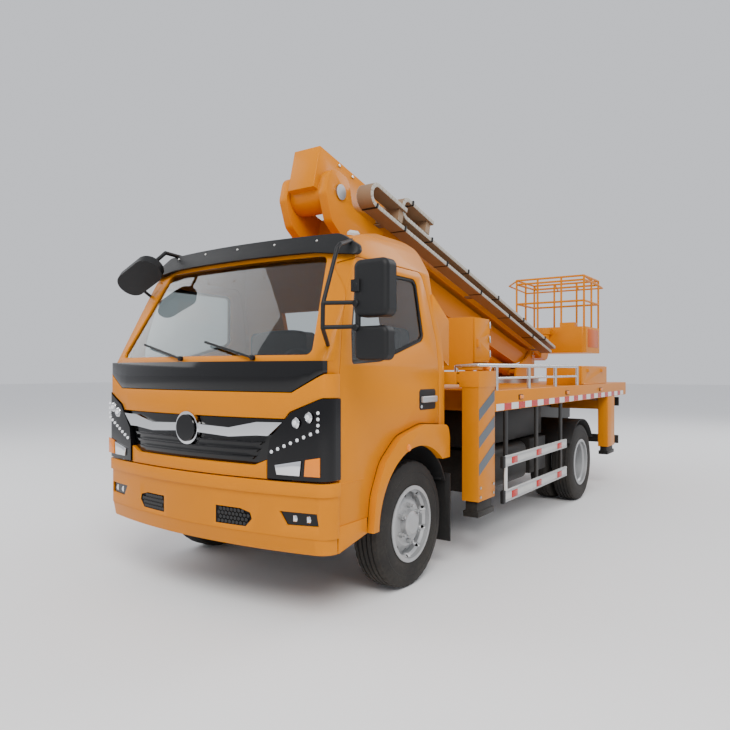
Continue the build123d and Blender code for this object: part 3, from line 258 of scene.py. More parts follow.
def edit(obj):
    fresh()
    bpy.context.view_layer.objects.active = obj
    obj.select_set(True)
    bpy.ops.object.mode_set(mode="EDIT")
    bpy.ops.mesh.select_all(action="SELECT")


def finished(obj, name, mat, body, place=truck, smooth=35):
    fresh()
    obj.select_set(True)
    bpy.context.view_layer.objects.active = obj
    obj.matrix_world = place @ obj.matrix_world
    bpy.ops.object.transform_apply(location=True, rotation=True, scale=True)
    bpy.ops.object.shade_smooth_by_angle(angle=math.radians(smooth))
    obj.name = name
    obj.data.name = name
    obj.data.materials.clear()
    obj.data.materials.append(mat)
    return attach(obj, body)


def roundBox(name, low, high, mat, body="chassis", edge=0.004, steps=2, place=truck, turn=None):
    fresh()
    bpy.ops.mesh.primitive_cube_add(size=1)
    obj = bpy.context.object
    size = [abs(b - a) for a, b in zip(low, high)]
    obj.scale = size
    bpy.ops.object.transform_apply(scale=True)
    edit(obj)
    bpy.ops.mesh.bevel(offset=min(edge, min(size) * 0.45), segments=steps, affect="EDGES")
    fresh()
    centre = Vector([(a + b) / 2 for a, b in zip(low, high)])
    obj.matrix_world = Matrix.Translation(centre) @ (turn or Matrix())
    return finished(obj, name, mat, body, place)


def stud(name, centre, axis, radius, height, mat, body="chassis", sides=20, rim=0.25, place=truck):
    fresh()
    bpy.ops.mesh.primitive_circle_add(vertices=sides, radius=radius, fill_type="NGON")
    obj = bpy.context.object
    edit(obj)
    step = {"value": (0, 0, height * (1 - rim))}
    bpy.ops.mesh.extrude_region_move(TRANSFORM_OT_translate=step)
    bpy.ops.mesh.extrude_region_move(TRANSFORM_OT_translate={"value": (0, 0, height * rim)})
    shrink = max(0.2, 1 - height * rim / radius)
    bpy.ops.transform.resize(value=(shrink, shrink, 1))
    bpy.ops.mesh.select_all(action="SELECT")
    bpy.ops.mesh.normals_make_consistent(inside=False)
    fresh()
    turn = Vector(axis).to_track_quat("Z", "Y").to_matrix().to_4x4()
    obj.matrix_world = Matrix.Translation(centre) @ turn
    return finished(obj, name, mat, body, place)


def slab(name, outline, axis, span, mat, body="chassis", edge=0.0, place=truck):
    fresh()
    bpy.ops.mesh.primitive_circle_add(vertices=len(outline), radius=1, fill_type="NGON")
    obj = bpy.context.object
    for vertex, (a, b) in zip(obj.data.vertices, outline):
        vertex.co = (span[0], a, b) if axis == "X" else (a, span[0], b)
    depth = span[1] - span[0]
    edit(obj)
    shift = (depth, 0, 0) if axis == "X" else (0, depth, 0)
    bpy.ops.mesh.extrude_region_move(TRANSFORM_OT_translate={"value": shift})
    bpy.ops.mesh.select_all(action="SELECT")
    bpy.ops.mesh.normals_make_consistent(inside=False)
    if edge:
        bpy.ops.mesh.bevel(offset=edge, segments=2, affect="EDGES")
    return finished(obj, name, mat, body, place)


def pipe(name, points, radius, mat, body="chassis", place=truck):
    fresh()
    line = bpy.data.curves.new(name, "CURVE")
    line.dimensions = "3D"
    line.bevel_depth = radius
    line.bevel_resolution = 3
    line.use_fill_caps = True
    spline = line.splines.new("BEZIER")
    spline.bezier_points.add(len(points) - 1)
    for spot, point in zip(spline.bezier_points, points):
        spot.co = point
        spot.handle_left_type = spot.handle_right_type = "AUTO"
    obj = bpy.data.objects.new(name, line)
    bpy.context.collection.objects.link(obj)
    obj.select_set(True)
    bpy.context.view_layer.objects.active = obj
    bpy.ops.object.convert(target="MESH")
    return finished(bpy.context.object, name, mat, body, place)


def copies(obj, name, shifts, place=truck):
    made = [obj]
    turn = place.to_3x3()
    for shift in shifts:
        twin = obj.copy()
        twin.data = obj.data.copy()
        bpy.context.collection.objects.link(twin)
        twin.data.transform(Matrix.Translation(turn @ Vector(shift)))
        made.append(twin)
    fresh()
    for item in made:
        item.select_set(True)
    bpy.context.view_layer.objects.active = obj
    bpy.ops.object.join()
    obj.name = name
    obj.data.name = name
    return obj


# Finishes of the small pieces
trim = {
    "rubber": finish("sealRubber", (0.012, 0.012, 0.013), 0.6, dust=0.1),
    "white": paint("whitePaint", (0.72, 0.72, 0.70), 0.3, dust=0.3),
    "red": finish("redReflector", (0.50, 0.008, 0.006), 0.15, dust=0.1, peel=420, bump=0.3),
    "amber": finish("amberLens", (0.80, 0.22, 0.01), 0.12, dust=0.08, peel=420, bump=0.2),
    "clear": finish("bulbReflector", (0.80, 0.81, 0.83), 0.08, 1.0, dust=0.02, bump=0.01),
    "led": finish("ledLens", (0.85, 0.87, 0.90), 0.1, dust=0.02),
    "slate": paint("slateStripe", (0.055, 0.075, 0.095), 0.35, dust=0.2),
    "alu": finish("aluminiumBoard", (0.56, 0.57, 0.58), 0.34, 1.0, dust=0.4, peel=220, bump=0.08),
    "ivory": finish("chainLink", (0.40, 0.385, 0.34), 0.55, dust=0.2, peel=120, bump=0.2),
    "mirror": finish("mirrorFace", (0.88, 0.89, 0.90), 0.02, 1.0, dust=0.01, bump=0.0),
    "cloth": finish("seatCloth", (0.035, 0.037, 0.042), 0.85, dust=0.03, peel=900, bump=0.5),
    "zinc": finish("zincBolt", (0.50, 0.50, 0.48), 0.32, 1.0, dust=0.2),
}

# CAD nodes with their edges softened, and the width of each rounding
softEdges = {
    "cab_body": 0.006, "door_left": 0.005, "door_right": 0.005, "bumper": 0.007, "visor": 0.006,
    "deck": 0.004, "deck_box_door": 0.003, "cabinet": 0.004, "cabinet_door": 0.003,
    "outrigger_frame": 0.005, "front_outrigger_left": 0.006, "front_outrigger_right": 0.006,
    "front_leg_left": 0.004, "front_leg_right": 0.004, "rear_leg_left": 0.004, "rear_leg_right": 0.004,
    "upper_boom": 0.006, "lower_boom": 0.006, "boom_section_1": 0.004, "boom_section_2": 0.004,
    "turret": 0.005, "basket_bracket": 0.004, "side_guards": 0.003, "rear_guard": 0.004,
    "tanks": 0.006, "engine_block": 0.012, "mudguards": 0.004, "grille": 0.003, "frame": 0.003,
    "arches": 0.004, "basket": 0.003, "lift_barrel": 0.003,
}
for node, width in softEdges.items():
    obj = nodes[node].copy()
    obj.data = nodes[node].data.copy()
    bpy.context.collection.objects.link(obj)
    obj.parent = None
    obj.matrix_world = Matrix()
    edit(obj)
    bpy.ops.mesh.remove_doubles(threshold=mergeGap)
    bpy.ops.mesh.dissolve_limited(angle_limit=math.radians(0.6))
    fresh()
    rounding = obj.modifiers.new("rounding", "BEVEL")
    rounding.width = width
    rounding.segments = 2
    rounding.limit_method = "ANGLE"
    rounding.angle_limit = math.radians(50)
    rounding.use_clamp_overlap = True
    obj.select_set(True)
    bpy.context.view_layer.objects.active = obj
    bpy.ops.object.modifier_apply(modifier="rounding")
    finished(obj, node + "_soft", finishes[slotOf[node]], bodyOf[node], Matrix(), 40)
    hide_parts(node)
    nodes[node + "_soft"] = obj
print("softened", len(softEdges), "nodes")

# Guard hangers are black behind the pale boards: partly their own black paint, partly painted shade
hangerReach = 1.081  # faces nearer the middle than this belong to the hangers
guardSoft = nodes["side_guards_soft"]
guardSoft.data.materials.append(finishes["black_paint"])
for face in guardSoft.data.polygons:
    if abs(face.center.x - midX) < hangerReach:
        face.material_index = 1

# Bumper inlets: dark floor with honeycomb ribs over it
inlet = {
    "inner": 0.22, "outer": 0.485, "bottom": 0.495, "top": 0.60, "floorY": -0.969, "ribY": -0.973,
    "rows": 4, "columns": 9, "firstCell": (0.245, 0.512), "step": (0.026, 0.0225), "cellSize": 0.0135,
    "ribEnd": 0.462, "corner": (0.43, 0.57),
}
bumperSoft = nodes["bumper_soft"]
bumperSoft.data.materials.append(finishes["dark_plastic"])
for face in bumperSoft.data.polygons:
    x, y, z = face.center
    x -= midX
    floorY = inlet["floorY"] + axleY + cabBow * x * x
    inside = inlet["inner"] < abs(x) < inlet["outer"] and inlet["bottom"] < z < inlet["top"]
    if inside and abs(y - floorY) < 0.012:
        face.material_index = 1

cell = stud(
    "inletCell", (0, 0, 0), (0, -1, 0), inlet["cellSize"], 0.006, finishes["gloss_black"], sides=6,
    rim=0.3,
)
cellShifts = []
for row in range(inlet["rows"]):
    for column in range(inlet["columns"]):
        x = inlet["firstCell"][0] + inlet["step"][0] * column + inlet["step"][0] / 2 * (row % 2)
        z = inlet["firstCell"][1] + inlet["step"][1] * row
        inCorner = x > inlet["corner"][0] and z > inlet["corner"][1]
        if x < inlet["ribEnd"] and not inCorner:
            cellShifts += [(s * x, inlet["ribY"] + cabBow * x * x, z) for s in (1, -1)]
cell.data.transform(Matrix.Translation(cellShifts[0]))
first = Vector(cellShifts[0])
copies(cell, "inletHoneycomb", [tuple(Vector(p) - first) for p in cellShifts[1:]])
print("front inlets made")

# Tyres: ribbed tread and stepped side walls, spun about the wheel's axis
tyreShape = {
    "radius": 0.3925, "grooveFloor": 0.3835, "grooves": (-0.048, -0.016, 0.016, 0.048), "steps": 120,
    "sipeEvery": 3, "sipeDepth": 0.005, "sipeAbove": 0.384, "sipeOutside": 0.05,
    "frontX": 0.835, "rearX": (0.92, 0.69),
}
# across and up from the wheel's axis: outer wall, tread with its grooves, inner wall, then the bore
treadProfile = [
    (-0.084, 0.222), (-0.096, 0.262), (-0.100, 0.300), (-0.0975, 0.318), (-0.0995, 0.321),
    (-0.097, 0.345), (-0.090, 0.368), (-0.080, 0.386),
]
wallPoints = len(treadProfile)
for groove in tyreShape["grooves"]:
    treadProfile += [
        (groove - 0.0055, tyreShape["radius"]), (groove - 0.003, tyreShape["grooveFloor"]),
        (groove + 0.003, tyreShape["grooveFloor"]), (groove + 0.0055, tyreShape["radius"]),
    ]
treadProfile += [(-x, r) for x, r in reversed(treadProfile[:wallPoints])]
treadProfile += [
    (0.076, 0.224), (0.080, 0.30), (0.06, 0.366), (-0.06, 0.366), (-0.080, 0.30), (-0.076, 0.224),
]


def spunTyre(name, body, places):
    fresh()
    bpy.ops.mesh.primitive_circle_add(vertices=len(treadProfile), radius=1)
    obj = bpy.context.object
    for vertex, (x, r) in zip(obj.data.vertices, treadProfile):
        vertex.co = (x, 0, r)
    edit(obj)
    steps = tyreShape["steps"]
    bpy.ops.mesh.spin(steps=steps, angle=2 * math.pi, center=(0, 0, 0), axis=(1, 0, 0))
    bpy.ops.mesh.select_all(action="SELECT")
    bpy.ops.mesh.remove_doubles(threshold=0.00005)
    bpy.ops.mesh.normals_make_consistent(inside=False)
    # sipes: every third band of the outer ribs is pressed in a little
    fresh()
    for vertex in obj.data.vertices:
        r = math.hypot(vertex.co.y, vertex.co.z)
        band = round(math.atan2(vertex.co.y, vertex.co.z) / (2 * math.pi) * steps)
        onRib = r > tyreShape["sipeAbove"] and abs(vertex.co.x) > tyreShape["sipeOutside"]
        if onRib and band % tyreShape["sipeEvery"] == 0:
            vertex.co.y *= (r - tyreShape["sipeDepth"]) / r
            vertex.co.z *= (r - tyreShape["sipeDepth"]) / r
    first = Vector(places[0])
    obj.data.transform(Matrix.Translation(first))
    finished(obj, name, finishes["rubber"], body)
    if len(places) > 1:
        copies(obj, name, [tuple(Vector(p) - first) for p in places[1:]])
    return obj


for side, s in (("left", 1), ("right", -1)):
    front = [(s * tyreShape["frontX"], 0, wheelZ)]
    tyre = spunTyre("frontTread_" + side, "wheel_front_" + side, front)
    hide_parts("front_tyre_" + side)
    twins = [(s * x, axleDistance, wheelZ) for x in tyreShape["rearX"]]
    tyre = spunTyre("rearTread_" + side, "wheel_rear_" + side, twins)
    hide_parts("rear_tyres_" + side)
print("tyres made")

# Head lamps, fog lamps and the blank badge disc
headLamp = {
    "face": -0.9985, "rowLamps": 8, "rowStart": (0.622, 0.918), "rowReach": (0.268, 0.118),
    "upLamps": 3, "upStart": (0.893, 1.066), "upStep": 0.032,
    "bowls": ((0.765, 1.075), (0.838, 1.105)), "bowlSize": 0.030,
    "reflector": ((0.655, 0.800), (0.792, 0.800), (0.802, 0.880), (0.643, 0.850)),
    "signal": ((0.815, 0.800), (0.905, 0.800), (0.905, 0.900), (0.822, 0.885)),
}
fogLamp = {"across": (0.735, 0.815), "face": -0.962, "up": 0.570, "size": 0.024}
badge = {"centre": (0, -1.0005, 1.018), "size": 0.078}
frontSlope = 0.3  # how far the front's normal leans outwards, per metre from the middle


def lampFront(x):
    return headLamp["face"] + cabBow * x * x


def onLamp(name, x, z, radius):
    spot = (x, lampFront(x) + 0.003, z)
    return stud(name, spot, (-frontSlope * x, -1, 0), radius, 0.008, trim["led"])


def lensPlate(name, outline, x, turn, mat):
    y = lampFront(x)
    lamp = truck @ Matrix.Translation((0, y, 0))
    plate = slab(name, outline, "Y", (-0.006, 0.004), mat, edge=0.002, place=lamp)
    there = Matrix.Translation((x + midX, y + axleY, 0))
    back = Matrix.Translation((-x - midX, -y - axleY, 0))
    plate.data.transform(there @ Matrix.Rotation(turn, 4, "Z") @ back)


for side, s in (("Left", 1), ("Right", -1)):
    (x0, z0), (alongX, alongZ) = headLamp["rowStart"], headLamp["rowReach"]
    for n in range(headLamp["rowLamps"]):
        share = n / (headLamp["rowLamps"] - 1)
        onLamp("dayLight" + side + str(n), s * (x0 + alongX * share), z0 + alongZ * share, 0.0095)
    x0, z0 = headLamp["upStart"]
    for n in range(headLamp["upLamps"]):
        onLamp("dayLightUp" + side + str(n), s * x0, z0 + headLamp["upStep"] * n, 0.009)
    for n, (x, z) in enumerate(headLamp["bowls"]):
        lean = (-frontSlope * s * x, -1, 0)
        stud(
            "lampBowl" + side + str(n), (s * x, lampFront(x) + 0.004, z), lean, headLamp["bowlSize"],
            0.010, trim["clear"], rim=0.8,
        )
        stud(
            "lampBulb" + side + str(n), (s * x, lampFront(x) - 0.004, z), lean,
            headLamp["bowlSize"] * 0.45, 0.008, trim["led"],
        )
    outline = [(s * x, z) for x, z in headLamp["reflector"]]
    lensPlate("mainReflector" + side, outline, s * 0.72, s * 0.192, trim["clear"])
    outline = [(s * x, z) for x, z in headLamp["signal"]]
    lensPlate("turnSignal" + side, outline, s * 0.86, s * 0.228, trim["amber"])
for side, s in (("Left", 1), ("Right", -1)):
    for n, x in enumerate(fogLamp["across"]):
        stud(
            "fogLamp" + side + str(n), (s * x, fogLamp["face"] + cabBow * x * x, fogLamp["up"]),
            (-frontSlope * s * x, -1, 0), fogLamp["size"], 0.010, trim["clear"], rim=0.8,
        )
stud("badgeDisc", badge["centre"], (0, -1, 0), badge["size"], 0.006, finishes["gloss_black"], sides=48)
print("front face made")

# Doors: window seal, handle recess and bar, lock, body crease
doorTrim = {
    "outer": 0.930, "sealWidth": 0.020, "sealThick": 0.016,
    "recess": (
        (0.088, 1.110), (0.100, 1.096), (0.290, 1.096), (0.302, 1.110), (0.302, 1.214), (0.288, 1.228),
        (0.104, 1.228), (0.088, 1.214),
    ),
    "bar": ((0.104, 1.142), (0.292, 1.184)), "barOut": 0.026, "lock": (0.112, 1.118),
    "crease": ((-0.735, 0.742), (-0.52, 0.750)),
}
for side, s in (("Left", 1), ("Right", -1)):
    body = "door_" + side.lower()
    glass = nodes["door_glass_" + side.lower()]
    seal = glass.copy()
    seal.data = glass.data.copy()
    bpy.context.collection.objects.link(seal)
    seal.parent = None
    seal.matrix_world = Matrix()
    edit(seal)
    bpy.ops.mesh.remove_doubles(threshold=mergeGap)
    bpy.ops.mesh.dissolve_limited(angle_limit=math.radians(3))
    fresh()
    # the pane's largest face is kept and becomes a ring
    cut = bmesh.new()
    cut.from_mesh(seal.data)
    pane = max(cut.faces, key=lambda f: f.calc_area())
    bmesh.ops.delete(cut, geom=[f for f in cut.faces if f != pane], context="FACES")
    ring = bmesh.ops.inset_region(
        cut, faces=list(cut.faces), thickness=doorTrim["sealWidth"], use_boundary=True,
        use_even_offset=True,
    )
    bmesh.ops.delete(cut, geom=[f for f in cut.faces if f not in ring["faces"]], context="FACES")
    cut.to_mesh(seal.data)
    cut.free()
    thick = seal.modifiers.new("thick", "SOLIDIFY")
    thick.thickness = doorTrim["sealThick"]
    thick.offset = 0
    seal.select_set(True)
    bpy.context.view_layer.objects.active = seal
    bpy.ops.object.modifier_apply(modifier="thick")
    finished(seal, "windowSeal" + side, trim["rubber"], body, Matrix())
    outer = s * doorTrim["outer"]
    slab(
        "handleRecess" + side, doorTrim["recess"], "X", (outer - s * 0.006, outer + s * 0.0025),
        trim["rubber"], body, 0.0012,
    )
    low, high = doorTrim["bar"]
    roundBox(
        "handleBar" + side, (outer, *low), (outer + s * doorTrim["barOut"], *high),
        finishes["wheel_silver"], body, 0.009, 3,
    )
    stud(
        "doorLock" + side, (outer + s * 0.002, *doorTrim["lock"]), (s, 0, 0), 0.011, 0.004,
        finishes["chrome"], body,
    )
    low, high = doorTrim["crease"]
    roundBox(
        "bodyCrease" + side, (outer - s * 0.004, *low), (outer + s * 0.002, *high),
        finishes["yellow_paint"], body, 0.002,
    )
print("doors dressed")

# Mirror faces, looking to the rear, and the clamps on their rod
mirrors = {
    "mainMirrorFace": ((1.115, -0.7915, 1.632), (1.290, -0.7885, 1.884)),
    "wideMirrorFace": ((1.120, -0.8015, 1.414), (1.286, -0.7985, 1.556)),
}
for name, (low, high) in mirrors.items():
    roundBox(name, low, high, trim["mirror"], edge=0.0012)
for z in (1.682, 1.562, 1.77):
    stud(
        "mirrorClamp" + str(int(z * 1000)), (1.124, -0.880, z), (0, -1, 0), 0.017, 0.012,
        finishes["dark_plastic"],
    )

# Roof cap and visor bolts
visorBolts = {"count": 6, "start": -0.70, "step": 0.28, "face": -0.727, "up": 2.075}
stud(
    "roofCap", (0.62, -0.20, 2.196), (0.25, -0.1, 1), 0.040, 0.030, finishes["grey_paint"], sides=28,
    rim=0.5,
)
for n in range(visorBolts["count"]):
    x = visorBolts["start"] + visorBolts["step"] * n
    stud(
        "visorBolt" + str(n), (x, visorBolts["face"] + cabBow * x * x, visorBolts["up"]),
        (0, -1, 0.45), 0.0065, 0.005, trim["zinc"],
    )
print("cab top dressed")

# Deck edge: red and white strip and marker lamps; guard boards; front posts
strip = {"start": 0.965, "end": 5.05, "most": 28, "step": 0.146, "length": 0.1455, "z": (1.050, 1.100)}
marker = {"along": (1.45, 2.65, 3.85), "baseZ": (1.118, 1.158), "lensZ": (1.124, 1.152)}
guard = {"start": 1.05, "end": 2.58, "boards": ((0.357, 0.447), (0.622, 0.703)), "reflectors": 3}
post = {
    "stripes": 3, "stripeZ": 0.62, "stripeStep": 0.19, "stripeY": (0.618, 0.882), "rise": 0.13,
    "stripeHeight": 0.08, "bolts": ((0.64, 0.47), (0.86, 0.47), (0.64, 0.535), (0.86, 0.535)),
}
for side, s in (("Left", 1), ("Right", -1)):
    x = s * deckEdge
    for n in range(strip["most"]):
        y = strip["start"] + n * strip["step"]
        if y + strip["step"] > strip["end"]:
            break
        roundBox(
            "edgeStrip" + side + str(n), (x - s * 0.001, y, strip["z"][0]),
            (x + s * 0.0022, y + strip["length"], strip["z"][1]),
            trim["red"] if n % 2 else trim["white"], edge=0.0006, steps=1,
        )
    for n, y in enumerate(marker["along"]):
        roundBox(
            "markerBase" + side + str(n), (x - s * 0.001, y - 0.045, marker["baseZ"][0]),
            (x + s * 0.006, y + 0.045, marker["baseZ"][1]), finishes["dark_plastic"], edge=0.003,
        )
        roundBox(
            "markerLens" + side + str(n), (x + s * 0.004, y - 0.036, marker["lensZ"][0]),
            (x + s * 0.015, y + 0.036, marker["lensZ"][1]), trim["amber"], edge=0.005, steps=3,
        )
    # guard boards with ribs, red reflectors and black end caps
    start, end = guard["start"], guard["end"]
    face = s * outerFace
    for row, (z0, z1) in enumerate(guard["boards"]):
        zc = (z0 + z1) / 2
        for k, lip in enumerate((z0 + 0.012, z1 - 0.012)):
            roundBox(
                "guardRib" + side + str(row) + str(k), (face - s * 0.003, start + 0.03, lip - 0.006),
                (face + s * 0.004, end - 0.01, lip + 0.006), trim["alu"], edge=0.002,
            )
        roundBox(
            "guardCap" + side + str(row), (s * 1.078, start - 0.012, z0 - 0.004),
            (face + s * 0.006, start + 0.034, z1 + 0.004), finishes["dark_plastic"], edge=0.006,
            steps=3,
        )
        for k in range(guard["reflectors"]):
            y = start + 0.22 + k * (end - start - 0.44) / 2
            roundBox(
                "guardReflector" + side + str(row) + str(k), (face - s * 0.001, y - 0.055, zc - 0.026),
                (face + s * 0.006, y + 0.055, zc + 0.026), trim["red"], edge=0.002,
            )
    roundBox(
        "guardUpright" + side, (s * 1.082, start + 0.05, 0.445), (s * 1.098, start + 0.085, 0.625),
        trim["white"], edge=0.003,
    )
    # front post: slanted stripes, lamp on top, foot bolts; and the lamp on the wheel arch
    postBody = "outrigger_" + side.lower()
    y0, y1 = post["stripeY"]
    rise, tall = post["rise"], post["stripeHeight"]
    for n in range(post["stripes"]):
        z = post["stripeZ"] + post["stripeStep"] * n
        stripe = [(y0, z), (y1, z + rise), (y1, z + rise + tall), (y0, z + tall)]
        slab(
            "postStripe" + side + str(n), stripe, "X", (face - s * 0.001, face + s * 0.0016),
            trim["slate"], postBody,
        )
    stud(
        "postLamp" + side, (s * 1.05, 0.86, 1.356), (0, 0, 1), 0.030, 0.034, trim["amber"],
        postBody, sides=24, rim=0.5,
    )
    for n, (y, z) in enumerate(post["bolts"]):
        stud(
            "postBolt" + side + str(n), (face, y, z), (s, 0, 0), 0.011, 0.007, trim["zinc"],
            postBody, sides=6,
        )
    stud(
        "flareLamp" + side, (s * 0.975, -0.12, 0.88), (s, 0, 0), 0.022, 0.010, trim["amber"], sides=24,
        rim=0.6,
    )
print("deck edge and guards dressed")

# Locker door: hinge knuckles and latch
lockerHinge = {"count": 3, "foot": (0.872, 1.327, 1.455), "step": 0.115}
for n in range(lockerHinge["count"]):
    x, y, z = lockerHinge["foot"]
    stud(
        "cabinetHinge" + str(n), (x, y, z + lockerHinge["step"] * n), (0, 0, 1), 0.007, 0.055,
        trim["zinc"], "cabinet_door", sides=12,
    )
roundBox(
    "cabinetLatch", (0.30, 1.326, 1.56), (0.36, 1.338, 1.62), finishes["dark_plastic"], "cabinet_door",
    0.004,
)
print("cabinet dressed")

# Cab inside: padded cushions and backs over the plain seats
seats = {
    "sides": ((0.20, 0.71), (-0.71, -0.11)), "cushionY": (-0.185, 0.30), "cushionZ": (0.96, 1.150),
    "cushionCrown": 0.012, "backY": (0.215, 0.355), "backZ": (1.10, 1.655), "backCrown": 0.006,
    "backInset": 0.02,
}


def pad(name, low, high, crown):
    fresh()
    bpy.ops.mesh.primitive_cube_add(size=1)
    obj = bpy.context.object
    obj.scale = [b - a for a, b in zip(low, high)]
    bpy.ops.object.transform_apply(scale=True)
    edit(obj)
    bpy.ops.mesh.subdivide(number_cuts=5)
    bpy.ops.mesh.select_all(action="SELECT")
    bpy.ops.mesh.vertices_smooth(factor=0.6, repeat=3)
    fresh()
    smooth = obj.modifiers.new("smooth", "SUBSURF")
    smooth.levels = 2
    obj.select_set(True)
    bpy.context.view_layer.objects.active = obj
    bpy.ops.object.modifier_apply(modifier="smooth")
    # smoothing draws the pad in, so it is widened again and its middle is raised
    halfWidth = (high[0] - low[0]) / 2
    for vertex in obj.data.vertices:
        x = vertex.co.x / halfWidth
        vertex.co.x *= 1.04
        vertex.co.y *= 1.05
        vertex.co.z += crown * (1 - x * x)
    centre = Vector([(a + b) / 2 for a, b in zip(low, high)])
    obj.matrix_world = Matrix.Translation(centre)
    finished(obj, name, trim["cloth"], "chassis", smooth=60)


for n, (x0, x1) in enumerate(seats["sides"]):
    (y0, y1), (z0, z1) = seats["cushionY"], seats["cushionZ"]
    pad("seatCushion" + str(n), (x0, y0, z0), (x1, y1, z1), seats["cushionCrown"])
    (y0, y1), (z0, z1) = seats["backY"], seats["backZ"]
    x0, x1 = x0 + seats["backInset"], x1 - seats["backInset"]
    pad("seatBack" + str(n), (x0, y0, z0), (x1, y1, z1), seats["backCrown"])
print("seats made")

# Energy chains: links along each run and round its bend, black clips between them
chain = {
    "pitch": 0.046, "bend": 0.078, "bendLinks": 6, "topLinks": 9, "clipEvery": 16, "firstClip": 8,
}
chainRuns = (
    {"bendAt": 0.275, "low": -0.005, "end": 0.130, "x": (0.225, 0.350)},
    {"bendAt": 0.735, "low": 0.105, "end": 0.340, "x": (0.180, 0.330)},
)


def alongChain(seed, spots, name, lead=0.0):
    made = []
    for s, d, angle in spots:
        twin = seed.copy()
        twin.data = seed.data.copy()
        bpy.context.collection.objects.link(twin)
        spot = Matrix.Translation((0, s, d)) @ Matrix.Rotation(angle, 4, "X")
        twin.data.transform(boom @ spot @ Matrix.Translation((0, lead, 0)))
        made.append(twin)
    bpy.data.objects.remove(seed)
    fresh()
    for item in made:
        item.select_set(True)
    bpy.context.view_layer.objects.active = made[0]
    bpy.ops.object.join()
    made[0].name = name


for row, run in enumerate(chainRuns):
    start = kneeAlong + run["bendAt"]
    pitch, half, low = chain["pitch"], chain["bend"], run["low"]
    path = []
    s = start
    while s < run["end"] - 0.02:
        path.append((s + pitch / 2, low + 0.017, 0.0))
        s += pitch
    for k in range(chain["bendLinks"]):
        angle = math.radians(-90 - 30 * k - 15)
        s, d = start + half * math.cos(angle), low + 0.095 + half * math.sin(angle)
        path.append((s, d, angle + math.pi / 2))
    for k in range(chain["topLinks"]):
        path.append((start + pitch * (k + 0.5), low + 0.173, 0.0))
    x0, x1 = run["x"]
    for side, x in (("Outer", x1), ("Inner", x0)):
        link = roundBox(
            "chainSeed", (x - 0.004, -0.0205, -0.0165), (x + 0.005, 0.0205, 0.0165), trim["ivory"],
            "upper_boom", 0.005, 2, Matrix(),
        )
        alongChain(link, path, "chainLinks" + str(row) + side)
    clip = roundBox(
        "chainBar", (x0 - 0.002, -0.008, -0.020), (x1 + 0.016, 0.008, 0.022), finishes["dark_plastic"],
        "upper_boom", 0.003, 1, Matrix(),
    )
    clipSpots = path[chain["firstClip"]::chain["clipEvery"]]
    alongChain(clip, clipSpots, "chainBars" + str(row), pitch / 2)
print("chains dressed")

# Booms: nose bolts, pin bosses, foot bolts, wear pad bolts and hoses
boomBolts = {
    "nose": ((-4.12, 0.05), (-4.12, 0.26), (-3.95, 0.05), (-3.95, 0.26)), "footCount": 4,
    "footRing": 0.035, "footCentre": (boomFoot[0] - 0.018, 1.527), "padCount": 6,
}
hoses = ((0.05, 0.012), (0.085, 0.010), (-0.06, 0.012))  # across the boom, radius
hoseRun = ((-3.70, -0.04), (-2.6, -0.035), (-1.2, -0.036), (-0.5, -0.042))
for side, s in (("Left", 1), ("Right", -1)):
    for n, (a, d) in enumerate(boomBolts["nose"]):
        stud(
            "noseBolt" + side + str(n), (s * 0.120, a, d), (s, 0, 0), 0.013, 0.010, trim["zinc"],
            "upper_boom", 6, place=boom,
        )
    stud(
        "pinBoss" + side, (s * 0.217, kneeAlong, 0.0), (s, 0, 0), 0.052, 0.012,
        finishes["yellow_paint"], "lower_boom", 32, place=boom,
    )
    for n in range(boomBolts["footCount"]):
        angle = n * math.pi / 2
        y = boomBolts["footCentre"][0] + boomBolts["footRing"] * math.cos(angle)
        z = boomBolts["footCentre"][1] + boomBolts["footRing"] * math.sin(angle)
        stud(
            "footBolt" + side + str(n), (s * 0.177, y, z), (s, 0, 0), 0.008, 0.008, trim["zinc"],
            "turret", 6,
        )
    for n in range(boomBolts["padCount"]):
        stud(
            "padBolt" + side + str(n), (s * 0.132, 0.33 + 0.02 * (n % 2), 0.07 + 0.06 * (n // 2)),
            (s, 0, 0), 0.009, 0.007, trim["zinc"], "upper_boom", 6, place=boom,
        )
for n, (x, radius) in enumerate(hoses):
    points = [(x, a, d) for a, d in hoseRun]
    pipe("boomHose" + str(n), points, radius, trim["rubber"], "lower_boom", boom)
print("boom dressed")

# Basket: blank side panel
roundBox(
    "basketPanel", (0.4995, 5.46, 1.665), (0.5035, 5.99, 1.915), finishes["orange_paint"], "basket",
    0.0015,
)

# Rear: lamps, blank plate
tailLamps = ((0.60, 0.70, "amber"), (0.71, 0.84, "red"), (0.85, 0.93, "clear"))
for side, s in (("Left", 1), ("Right", -1)):
    for n, (x0, x1, key) in enumerate(tailLamps):
        roundBox(
            "tailLamp" + side + str(n), (s * x0, 5.058, 1.070), (s * x1, 5.074, 1.150), trim[key],
            edge=0.006, steps=3,
        )
roundBox("rearPlate", (-0.22, 5.059, 1.065), (0.22, 5.064, 1.165), trim["white"], edge=0.002)
print("rear dressed")

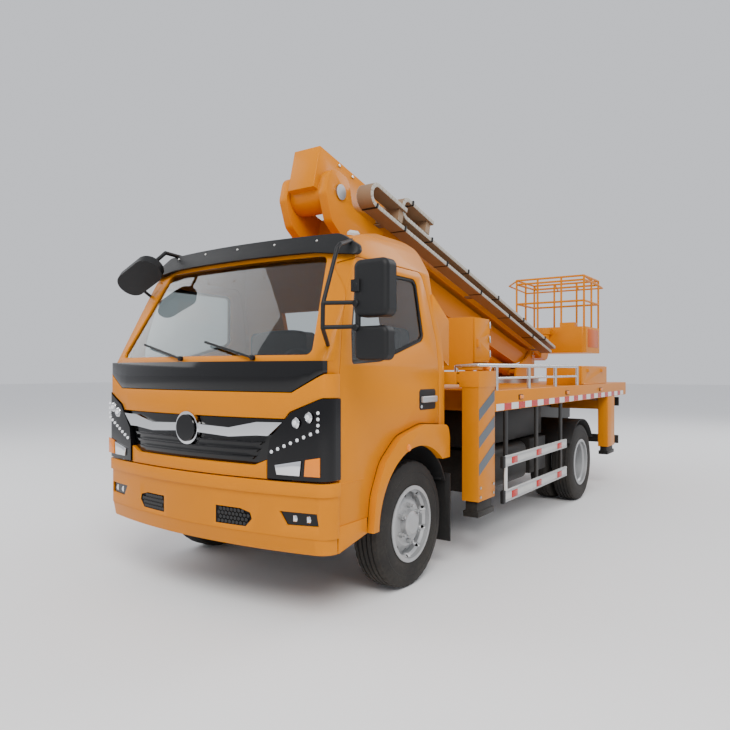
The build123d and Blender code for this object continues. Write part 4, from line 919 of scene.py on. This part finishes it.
# Camera at the photo's angle, level, off to the truck's left
view = {"place": (2.9578, -3.4590, 1.3519), "turn": 34.6, "sensor": 36}
photoWidth, focalPixels, horizonPixels = 730, 640, 5
camera = bpy.data.objects.new("camera", bpy.data.cameras.new("camera"))
bpy.context.collection.objects.link(camera)
x, y, z = view["place"]
camera.location = (x + midX, y + axleY, z)
camera.rotation_euler = (math.radians(90), 0, math.radians(view["turn"]))
camera.data.sensor_width = view["sensor"]
camera.data.lens = view["sensor"] * focalPixels / photoWidth
camera.data.shift_y = horizonPixels / photoWidth
bpy.context.scene.camera = camera

# Pale floor and soft lights
studio = {"floorColor": (0.86, 0.86, 0.86, 1), "skyColor": (0.92, 0.94, 1.0, 1), "skyPower": 0.85}
fresh()
bpy.ops.mesh.primitive_plane_add(size=120, location=(0, 0, 0))
floor = bpy.context.object
floor.name = "studioFloor"
floorMat, tree, shader = newMaterial("paleFloor")
setShader(shader, Base_Color=studio["floorColor"], Roughness=0.9)
floor.data.materials.append(floorMat)
floor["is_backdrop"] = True

world = bpy.data.worlds.new("studio")
bpy.context.scene.world = world
world.use_nodes = True
sky = world.node_tree.nodes["Background"].inputs
sky[0].default_value = studio["skyColor"]
sky[1].default_value = studio["skyPower"]

lights = {
    "keyLight": {"place": (6, -9, 9), "size": 6, "power": 1250, "color": (1, 0.98, 0.95)},
    "fillLight": {"place": (-8, -6, 6), "size": 7, "power": 330, "color": (1, 1, 1)},
    "rearLight": {"place": (4, 9, 8), "size": 6, "power": 450, "color": (1, 1, 1)},
}
aim = Vector((0, 0, 1))
for name, given in lights.items():
    lamp = bpy.data.objects.new(name, bpy.data.lights.new(name, "AREA"))
    bpy.context.collection.objects.link(lamp)
    lamp.location = given["place"]
    lamp.rotation_mode = "QUATERNION"
    lamp.rotation_quaternion = (aim - Vector(given["place"])).to_track_quat("-Z", "Y")
    lamp.data.size = given["size"]
    lamp.data.energy = given["power"]
    lamp.data.color = given["color"]

low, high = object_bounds()
print("scene ready")
